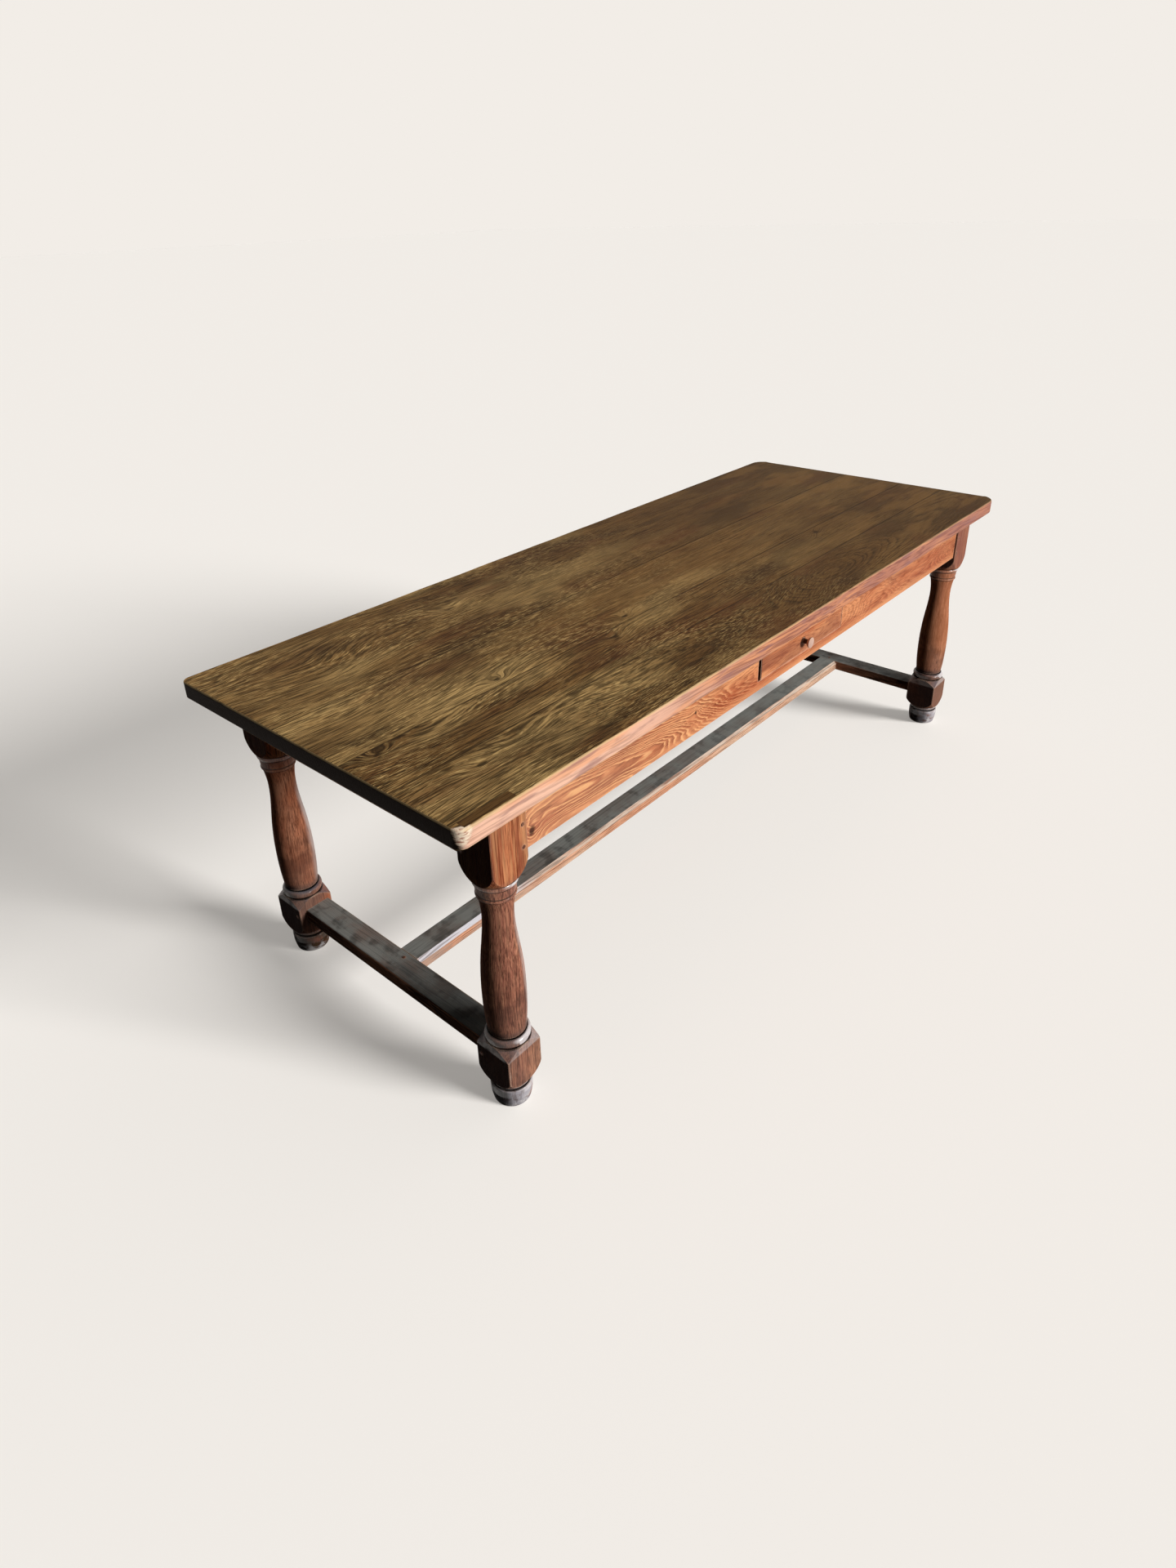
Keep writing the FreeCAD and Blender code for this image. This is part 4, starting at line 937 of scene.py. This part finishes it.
class TABLE_OT_legs(bpy.types.Operator):
    """Finish the four turned legs"""
    bl_idname = "table.legs"
    bl_label = "Legs"

    legs = ("leg_front_left", "leg_front_right", "leg_back_left", "leg_back_right")
    # Heights between which a part of the leg comes in or dies away
    turned_part = ((0.185, 0.20), (0.50, 0.42))
    belly = ((0.20, 0.27), (0.36, 0.29))
    block_start = (0.552, 0.575)
    collar_start = (0.50, 0.515)
    smoke_end = (0.31, 0.20)
    low_end = (0.21, 0.19)
    foot_end = (0.062, 0.05)
    chips_end = (0.034, 0.012)
    # Height and half width of each groove, and how much of a groove is quite black with dirt and painted
    # shade
    grooves = [(0.0495, 0.0035), (0.1875, 0.0030), (0.166, 0.0022), (0.517, 0.0018), (0.5255, 0.0018),
               (0.545, 0.0020), (0.558, 0.0026)]
    groove_core = 0.4
    # Beads and rings with gloss, and with a pale painted glint, as (start, end, strength), and how soon they
    # fade
    polished = [(0.545, 0.557, 1.0), (0.517, 0.545, 0.35), (0.166, 0.186, 0.9), (0.146, 0.166, 0.6),
                (0.030, 0.060, 0.8)]
    polish_fade = 0.002
    rubbed = [(0.545, 0.559, 1.0), (0.168, 0.188, 0.8), (0.146, 0.166, 0.25), (0.034, 0.062, 0.6)]
    painted_glint_fade = 0.003
    # Patches and flecks of the leg and of its upper block: cells per metre, limits, detail, tone, strength
    flecks = [((14.0, 14.0, 9.0), 0.50, 0.72, 4.0, "blotch", 0.6),
              ((110.0, 110.0, 5.0), 0.52, 0.66, 4.0, "pale", 0.5),
              ((150.0, 150.0, 6.0), 0.50, 0.66, 4.0, "dark", 0.4),
              ((420.0, 420.0, 40.0), 0.57, 0.67, 2.0, "pale", 0.5),
              ((380.0, 380.0, 36.0), 0.55, 0.65, 2.0, "dark", 0.5)]
    block_flecks = [((34.0, 34.0, 4.0), 0.48, 0.62, 4.0, "blotch", 0.5),
                    ((80.0, 80.0, 6.0), 0.48, 0.64, 4.0, "gold", 0.28),
                    ((260.0, 260.0, 9.0), 0.53, 0.63, 4.0, "dark", 0.65)]
    # Which way the faces with the painted sheen, the painted glint and the painted shade look
    painted_sheen_way = (0.93, -0.36, 0.0)
    waxed_way = (0.34, -0.84, 0.42)
    painted_shade_way = (-1.0, 0.0, 0.0)

    def execute(self, context):
        looks = context.scene.table_look
        for index, name in enumerate(self.legs):
            low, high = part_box(name)
            middle = (low + high) / 2
            heart = (0.7 * index, -middle.y - 0.075, middle.x - 0.05)
            oak = OakFinish(name + "_oak", looks.leg, turn=ALONG_Z, heart=heart, waver=0.03)
            level = oak.part("Z")
            block, low_part = oak.n.ramp(level, *self.block_start), oak.n.ramp(level, *self.low_end)
            self.turned(oak, looks.leg, level, name)
            self.upper_block(oak, looks, level, block, name)
            self.foot(oak, looks.leg, level, low_part, name)
            self.wax(oak, looks.leg, level, oak.n.math("MAXIMUM", block, low_part), name)
            dress(name, oak.finish(bump=DEEP_GRAIN, spec=DULL_WAX, coat=self.gloss(oak, level)))
        return {"FINISHED"}

    def between(self, oak, level, start, end):
        """Where a height is past one fade and not yet past another."""
        return oak.both(oak.n.ramp(level, *start), oak.n.ramp(level, *end))

    def turned(self, oak, leg, level, name):
        """Patches and flecks, each leg's own tint, and the painted sheen and smoky low part of the baluster.
        """
        for stretch, start, end, detail, tone, strength in self.flecks:
            oak.cover(oak.clouds(stretch, start, end, detail), getattr(leg, tone), strength)
        belly = self.between(oak, level, *self.belly)
        oak.cover(oak.both(belly, oak.clouds((20.0, 20.0, 30.0), 0.35, 0.6)), leg.blotch, 0.55)
        if name == "leg_back_left":
            places = oak.clouds((9.0, 9.0, 5.0), 0.30, 0.60)
            oak.cover(places, leg.red, 0.5, "SOFT_LIGHT")
            oak.cover(places, leg.red, 0.35)
        # Partly painted light: the golden brown brightens this leg as if more light fell on it
        if name == "leg_front_right":
            oak.cover(oak.clouds((9.0, 9.0, 5.0), 0.20, 0.50), leg.amber_and_painted_light, 0.5)
        turned = self.between(oak, level, *self.turned_part)
        # Painted sheen: pale grey on the balusters' side that looks towards the light
        lit = oak.looking(self.painted_sheen_way, 0.58, 0.95)
        oak.cover(oak.both(turned, lit, oak.clouds((60.0, 60.0, 12.0), 0.22, 0.55)), leg.painted_sheen, 0.8)
        oak.cover(oak.both(turned, oak.n.ramp(level, *self.smoke_end)), leg.smoke, 0.3)

    def upper_block(self, oak, looks, level, block, name):
        """The aprons' colours on the upper block, and less wear from the collar up."""
        n, frame_look = oak.n, looks.frame
        collar = n.ramp(level, *self.collar_start)
        oak.wear = n.math("MULTIPLY", oak.wear, n.math("MULTIPLY_ADD", collar, -0.6, 1.0))
        oak.cover(block, oak.figured(frame_look.dark, frame_look.body, frame_look.pale), 0.85)
        for stretch, start, end, detail, tone, strength in self.block_flecks:
            places = oak.both(block, oak.clouds(stretch, start, end, detail))
            oak.cover(places, getattr(frame_look, tone), strength)
        if name == "leg_front_right":
            oak.cover(block, looks.edge.bruise, 0.4)
            oak.cover(block, looks.leg.blotch, 0.25)

    def foot(self, oak, leg, level, low_part, name):
        """Smoke and dust on the lower block, and a grey foot with streaks and chips."""
        n = oak.n
        oak.cover(oak.both(low_part, oak.clouds((12.0, 12.0, 12.0), 0.25, 0.6)), leg.smoke, 0.7)
        dust = n.group("Settled Dust", Vector=oak.place, Level=0.15)["Dust"]
        oak.cover(oak.both(low_part, dust), leg.dust, 0.75)
        foot = n.ramp(level, *self.foot_end)
        grey = leg.foot if "front" in name else leg.damp
        oak.cover(oak.both(foot, oak.clouds((40.0, 40.0, 60.0), 0.26, 0.55)), grey, 0.85)
        oak.cover(oak.both(foot, oak.clouds((90.0, 90.0, 25.0), 0.50, 0.62)), leg.blotch, 0.5)
        chips = oak.clouds((45.0, 45.0, 70.0), 0.46, 0.55)
        oak.cover(oak.both(chips, n.ramp(level, *self.chips_end)), leg.chip, 0.85)

    def wax(self, oak, leg, level, blocks, name):
        """Painted glints on front beads and rings, painted shade on the blocks' left faces, grooves of dirt
        and painted shade.
        """
        n, fade = oak.n, self.painted_glint_fade
        if "front" in name:
            # Painted highlight: whitish glints on the front legs' beads and rings, on the side towards the
            # light
            outer = oak.looking(self.waxed_way, 0.64, 0.88)
            for low, high, strength in self.rubbed:
                band = self.between(oak, level, (low, low + fade), (high, high - fade))
                places = oak.both(band, outer, oak.clouds((40.0, 40.0, 40.0), 0.25, 0.5))
                oak.cover(places, leg.painted_glint, strength)
        # Painted shade: the blocks' faces that look to the left are darkened to near black
        oak.cover(oak.both(oak.looking(self.painted_shade_way), blocks), leg.painted_shade, 0.75)
        # Dirt and painted shade: each groove is darkened to near black at its middle
        for height, reach in self.grooves:
            gap = n.math("ABSOLUTE", n.math("SUBTRACT", level, height))
            oak.cover(n.ramp(gap, reach, reach * self.groove_core), leg.grime_and_shade, 0.85)

    def gloss(self, oak, level):
        """Rubbed wax on the beads, the ring, the cone and the top of the foot."""
        n, fade = oak.n, self.polish_fade
        shine = 0.0
        for low, high, strength in self.polished:
            band = self.between(oak, level, (low - fade, low + fade), (high + fade, high - fade))
            shine = n.math("MAXIMUM", shine, n.math("MULTIPLY", band, strength))
        return oak.both(shine, oak.clouds((30.0, 30.0, 30.0), 0.25, 0.5))


class TABLE_OT_stretchers(bpy.types.Operator):
    """Finish the stretchers"""
    bl_idname = "table.stretchers"
    bl_label = "Stretchers"

    up = (0.0, 0.0, 1.0)
    # Where the hearts of the end stretchers lie, and how far the grain wavers
    end_hearts = {"left_end_stretcher": (0.0, 1.06, -0.06), "right_end_stretcher": (1.7, -0.94, -0.06)}
    waver = 0.04

    def execute(self, context):
        look = context.scene.table_look.stretcher
        for name, heart in self.end_hearts.items():
            oak = OakFinish(name + "_oak", look, turn=ALONG_Y, heart=heart, waver=self.waver)
            oak.colour = oak.figured(look.grime_and_shade, look.shaded, look.body)
            flat = self.trodden(oak, look, 0.72)
            # Painted shadow: the left end stretcher's upper face is darkened towards the front, where the
            # front leg's shadow falls
            if name == "left_end_stretcher":
                oak.cover(oak.both(flat, oak.n.ramp(oak.part("Y"), 0.10, -0.2)), look.grime_and_shade, 0.65)
            dress(name, oak.finish(spec=DULL_WAX))
        oak = OakFinish("long_stretcher_oak", look, heart=(0.6, 0.08, -0.05), waver=self.waver)
        flat = self.trodden(oak, look, 0.8)
        oak.cover(oak.both(flat, oak.n.ramp(oak.part("X"), -0.2, 0.5)), look.dust, 0.35)
        self.chamfers(oak, look)
        dress("long_stretcher", oak.finish(spec=DULL_WAX))
        return {"FINISHED"}

    def trodden(self, oak, look, strength):
        """Charcoal, dust and dirt on the upper face, and where that face is."""
        flat = oak.looking(self.up, 0.78, 0.95)
        oak.cover(flat, look.blotch, strength)
        oak.cover(oak.both(flat, oak.clouds((13.0, 13.0, 13.0), 0.38, 0.60)), look.dust, 0.8)
        oak.cover(oak.both(flat, oak.n.ramp(oak.figure["Streaks"], 0.48, 0.62)), look.grime_and_shade, 0.2)
        oak.cover(oak.both(flat, oak.clouds((24.0, 24.0, 24.0), 0.52, 0.66)), look.grime_and_shade, 0.4)
        return flat

    def chamfers(self, oak, look):
        """Rubbed chamfers, paler to the left partly as a painted glint, and a grey left end of the front
        face.
        """
        n, along = oak.n, oak.part("X")
        slope = oak.both(oak.looking(self.up, 0.4, 0.6), oak.looking(self.up, 0.85, 0.78))
        oak.cover(oak.both(slope, oak.clouds((12.0, 60.0, 60.0), 0.25, 0.55)), look.rubbed, 0.85)
        # Partly painted highlight: pale blue grey on the chamfer towards its left end
        bleached = oak.both(slope, n.ramp(along, -0.55, -0.75))
        oak.cover(oak.both(bleached, oak.clouds((12.0, 60.0, 60.0), 0.2, 0.45)), look.chamfer_glint, 0.85)
        oak.cover(oak.both(slope, n.ramp(oak.figure["Streaks"], 0.5, 0.6)), look.dark, 0.5)
        side = oak.both(oak.looking((0.0, -1.0, 0.0)), n.ramp(along, -0.5, -0.75))
        oak.cover(oak.both(side, oak.clouds((9.0, 60.0, 60.0), 0.3, 0.55)), look.blotch, 0.45)


class TABLE_OT_pegs(bpy.types.Operator):
    """Finish the pegs of the joints"""
    bl_idname = "table.pegs"
    bl_label = "Pegs"

    def execute(self, context):
        looks = context.scene.table_look
        for name in ("apron_pegs", "end_stretcher_pegs", "long_stretcher_pegs"):
            oak = OakFinish(name + "_oak", looks.leg, turn=ALONG_Y)
            oak.wear = 0.0
            oak.cover(1.0, looks.leg.grime_and_shade, 0.55)
            dress(name, oak.finish())
        return {"FINISHED"}


class TABLE_OT_drawer(bpy.types.Operator):
    """Finish the drawer and its knob"""
    bl_idname = "table.drawer"
    bl_label = "Drawer"

    # How far in from its left end the front has painted shade beside the gap, and where the face of the knob
    # begins
    dirty_end = (0.006, 0.003)
    knob_face = (-0.401, -0.404)

    def execute(self, context):
        looks = context.scene.table_look
        front = OakFinish("drawer_front_oak", looks.frame, heart=(3.3, 0.425, -0.66), lean=(0.0, 0.06),
                          waver=0.05)
        front.cover(front.clouds((7.0, 7.0, 24.0), 0.34, 0.60), looks.frame.blotch, 0.55)
        # Painted shade: the drawer front's end faces and a strip at its left end are darkened like the shade
        # in the gap
        front.cover(front.facing((1.0, 0.0, 0.0)), looks.frame.grime_and_shade, 0.95)
        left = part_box("drawer_front")[0].x
        gap_shade = front.n.ramp(front.part("X"), *(left + reach for reach in self.dirty_end))
        front.cover(gap_shade, looks.frame.grime_and_shade, 0.9)
        dress("drawer_front", front.finish())
        for name, turn, heart in (("drawer_left_side", ALONG_Y, (0.0, -0.2, -0.62)),
                                  ("drawer_right_side", ALONG_Y, (0.9, 0.25, -0.62)),
                                  ("drawer_back", ALONG_X, (1.1, 0.0, -0.62)),
                                  ("drawer_bottom", ALONG_X, (1.9, 0.2, -0.58))):
            dress(name, OakFinish(name + "_oak", looks.inner, turn=turn, heart=heart).finish())
        knob = OakFinish("drawer_knob_wood", looks.leg, turn=ALONG_Y, heart=(0.0, -0.02, -0.65))
        # Partly painted shade and highlight: the knob is darkened all over like the shade at its neck, its
        # face pale partly as a highlight
        knob.cover(1.0, looks.leg.grime_and_shade, 0.88)
        knob.cover(knob.n.ramp(knob.part("Y"), *self.knob_face), looks.leg.knob, 0.9)
        dress("drawer_knob", knob.finish())
        return {"FINISHED"}


class TABLE_OT_inside(bpy.types.Operator):
    """Finish the strips, buttons and fixings under the top"""
    bl_idname = "table.inside"
    bl_label = "Underside"

    def execute(self, context):
        look = context.scene.table_look.inner
        for side in ("left", "right"):
            for index, kind in enumerate(("runner", "guide", "kicker")):
                name = "drawer_{}_{}".format(kind, side)
                oak = OakFinish(name + "_oak", look, turn=ALONG_Y, heart=(0.5 * index, 0.2, -0.6))
                dress(name, oak.finish())
        stops = OakFinish("drawer_stops_oak", look, heart=(0.2, 0.0, -0.6))
        dress("drawer_stops", stops.finish())
        buttons = OakFinish("top_buttons_oak", look, turn=ALONG_Y, heart=(0.2, 0.1, -0.68))
        dress("top_buttons", buttons.finish())
        steel = self.steel(look)
        for name in ("button_screws", "kicker_screws", "guide_nails", "drawer_bottom_nails"):
            dress(name, steel)
        return {"FINISHED"}

    def steel(self, look):
        """Dull old steel with brown spots."""
        material = bpy.data.materials.new("old_steel")
        material.use_nodes = True
        material.node_tree.nodes.clear()
        n = Nodes(material.node_tree)
        place = n.add("TexCoord").outputs["Object"]
        rust = n.ramp(n.noise(place, (400.0, 400.0, 400.0), 4.0), 0.45, 0.62)
        tint = n.mix(rust, look.steel, look.rust)
        surface = n.add("BsdfPrincipled", {"Base Color": tint, "Metallic": n.math("SUBTRACT", 1.0, rust),
                                           "Roughness": n.math("MULTIPLY_ADD", rust, 0.4, 0.4)})
        n.feed(n.add("OutputMaterial").inputs["Surface"], surface.outputs[0])
        return material


class TABLE_OT_stage(bpy.types.Operator):
    """Make the pale floor, the soft light and the camera"""
    bl_idname = "table.stage"
    bl_label = "Stage"

    # Half width of the floor, where the lamps stand or which way they lie, and the camera's place and turn
    floor_reach = 60.0
    key_place = Vector((0.52, -5.95, 1.70))
    key_aim = Vector((0.0, 0.0, 0.45))
    sun_way = Vector((0.309, -0.897, 0.317)).normalized()
    sky_way = Vector((0.70, -0.68, 0.22)).normalized()
    rear_way = Vector((0.72, 0.65, 0.24)).normalized()
    camera_place = Vector((-1.9145, -1.3817, 1.6256))
    camera_right = Vector((0.660881, -0.749856, -0.030868))
    camera_ahead = Vector((0.662550, 0.602265, -0.445313))
    camera_shift = (0.00996, -0.06842)
    sensor = 36.0

    def execute(self, context):
        look = context.scene.table_look.stage
        floor = self.floor(context, look)
        key = self.lamp(context, "key_light", "AREA", look.key, self.key_place - self.key_aim)
        key.location = self.key_place
        key.data.shape, key.data.size = "DISK", look.key_width
        self.link(key, floor, "EXCLUDE")
        overhead = self.lamp(context, "overhead_light", "SUN", look.above, Vector((0.0, 0.0, 1.0)))
        overhead.data.angle = look.above_width
        self.link(overhead, floor, "EXCLUDE")
        sun = self.lamp(context, "floor_light", "SUN", look.sun, self.sun_way)
        sun.data.angle = look.sun_width
        self.link(sun, floor, "INCLUDE")
        self.sky(context, look)
        self.camera(context, look)
        context.scene.view_settings.view_transform = "Standard"
        return {"FINISHED"}

    def floor(self, context, look):
        """A wide floor that shows pale, keeps the shadow and throws little light back on to the table."""
        mesh = bpy.data.meshes.new("floor")
        r = self.floor_reach
        mesh.from_pydata([(-r, -r, 0.0), (r, -r, 0.0), (r, r, 0.0), (-r, r, 0.0)], [], [(0, 1, 2, 3)])
        floor = bpy.data.objects.new("floor", mesh)
        context.scene.collection.objects.link(floor)
        material = bpy.data.materials.new("pale_floor")
        material.use_nodes = True
        material.node_tree.nodes.clear()
        n = Nodes(material.node_tree)
        lit = n.add("BsdfDiffuse", {"Color": look.floor})
        glow = n.add("Emission", {"Color": look.glow, "Strength": 1.0})
        shown = n.add("AddShader")
        n.feed(shown.inputs[0], lit.outputs[0])
        n.feed(shown.inputs[1], glow.outputs[0])
        carried = n.add("BsdfDiffuse", {"Color": look.bounce})
        surface = n.add("MixShader")
        n.feed(surface.inputs[0], self.seen(n))
        n.feed(surface.inputs[1], carried.outputs[0])
        n.feed(surface.inputs[2], shown.outputs[0])
        n.feed(n.add("OutputMaterial").inputs["Surface"], surface.outputs[0])
        material.cycles.emission_sampling = "NONE"
        mesh.materials.append(material)
        return floor

    def seen(self, n):
        """1 for rays that show the background itself, 0 for those that only carry its light."""
        ray = n.add("LightPath").outputs
        mirrored = n.math("MAXIMUM", ray["Is Glossy Ray"], ray["Is Transmission Ray"])
        return n.math("MAXIMUM", ray["Is Camera Ray"], mirrored)

    def lamp(self, context, name, kind, strength, way):
        """A lamp that shines from the way given and isn't seen itself."""
        data = bpy.data.lights.new(name, kind)
        data.energy = strength
        lamp = bpy.data.objects.new(name, data)
        lamp.rotation_mode = "QUATERNION"
        lamp.rotation_quaternion = way.to_track_quat("Z", "Y")
        lamp.visible_camera = False
        context.scene.collection.objects.link(lamp)
        return lamp

    def link(self, lamp, floor, state):
        """Keep a lamp off the floor, or for the floor alone, so that the floor is even and has one shadow."""
        lit = bpy.data.collections.new(lamp.name)
        lit.objects.link(floor)
        lamp.light_linking.receiver_collection = lit
        for item in lit.collection_objects:
            item.light_linking.link_state = state

    def sky(self, context, look):
        """Soft light from the bright side, the ceiling and behind, and a pale backdrop for the camera."""
        world = bpy.data.worlds.new("studio")
        context.scene.world = world
        world.use_nodes = True
        world.node_tree.nodes.clear()
        n = Nodes(world.node_tree)
        way = n.add("TexCoord").outputs["Generated"]
        bright = n.ramp(n.vector("DOT_PRODUCT", way, self.sky_way), 0.35, 0.95)
        parts = n.add("SeparateXYZ", {"Vector": way}).outputs
        strength = n.math("MULTIPLY_ADD", bright, look.fill, look.shade)
        strength = n.math("MULTIPLY_ADD", n.ramp(parts["Z"], 0.8, 0.99), look.sky, strength)
        rear = n.ramp(n.vector("DOT_PRODUCT", way, self.rear_way), 0.3, 0.9)
        strength = n.math("MULTIPLY_ADD", rear, look.behind, strength)
        light = n.add("Background", {"Color": (1.0, 1.0, 1.0, 1.0), "Strength": strength})
        backdrop = n.add("Background", {"Color": (*look.backdrop, 1.0), "Strength": 1.0})
        mixed = n.add("MixShader")
        n.feed(mixed.inputs[0], self.seen(n))
        n.feed(mixed.inputs[1], light.outputs[0])
        n.feed(mixed.inputs[2], backdrop.outputs[0])
        n.feed(n.add("OutputWorld").inputs["Surface"], mixed.outputs[0])

    def camera(self, context, look):
        """The camera at the photograph's place."""
        data = bpy.data.cameras.new("camera")
        data.lens = look.lens
        data.sensor_width = self.sensor
        data.shift_x, data.shift_y = self.camera_shift
        camera = bpy.data.objects.new("camera", data)
        back = -self.camera_ahead.normalized()
        right = self.camera_right.normalized()
        turn = Matrix((right, back.cross(right), back)).transposed()
        camera.matrix_world = Matrix.Translation(self.camera_place) @ turn.to_4x4()
        context.scene.collection.objects.link(camera)
        context.scene.camera = camera


class TABLE_PT_panel(bpy.types.Panel):
    """Steps and looks of the farmhouse table"""
    bl_idname = "TABLE_PT_panel"
    bl_label = "Farmhouse Table"
    bl_space_type = "VIEW_3D"
    bl_region_type = "UI"
    bl_category = "Table"

    def draw(self, context):
        for step in STEPS:
            self.layout.operator(step.bl_idname)
        for part in context.scene.table_look.bl_rna.properties:
            if part.type != "POINTER":
                continue
            box = self.layout.box()
            box.label(text=part.name)
            look = getattr(context.scene.table_look, part.identifier)
            for value in look.bl_rna.properties:
                if not value.is_readonly:
                    box.prop(look, value.identifier)


LOOKS = (TopLook, BoardShape, EdgeLook, FrameLook, LegLook, StretcherLook, InnerLook, StageLook, TableLook)
STEPS = (TABLE_OT_groups, TABLE_OT_top, TABLE_OT_frame, TABLE_OT_legs, TABLE_OT_stretchers, TABLE_OT_pegs,
         TABLE_OT_drawer, TABLE_OT_inside, TABLE_OT_stage)


def register():
    for kind in LOOKS + STEPS + (TABLE_PT_panel,):
        bpy.utils.register_class(kind)
    bpy.types.Scene.table_look = PointerProperty(name="Table look", description="All looks of the table",
                                                 type=TableLook)


def unregister():
    del bpy.types.Scene.table_look
    for kind in reversed(LOOKS + STEPS + (TABLE_PT_panel,)):
        bpy.utils.unregister_class(kind)


def main():
    register()
    bpy.ops.table.groups()
    bpy.ops.table.top()
    bpy.ops.table.frame()
    bpy.ops.table.legs()
    bpy.ops.table.stretchers()
    bpy.ops.table.pegs()
    bpy.ops.table.drawer()
    bpy.ops.table.inside()
    bpy.ops.table.stage()


if __name__ == "__main__":
    main()
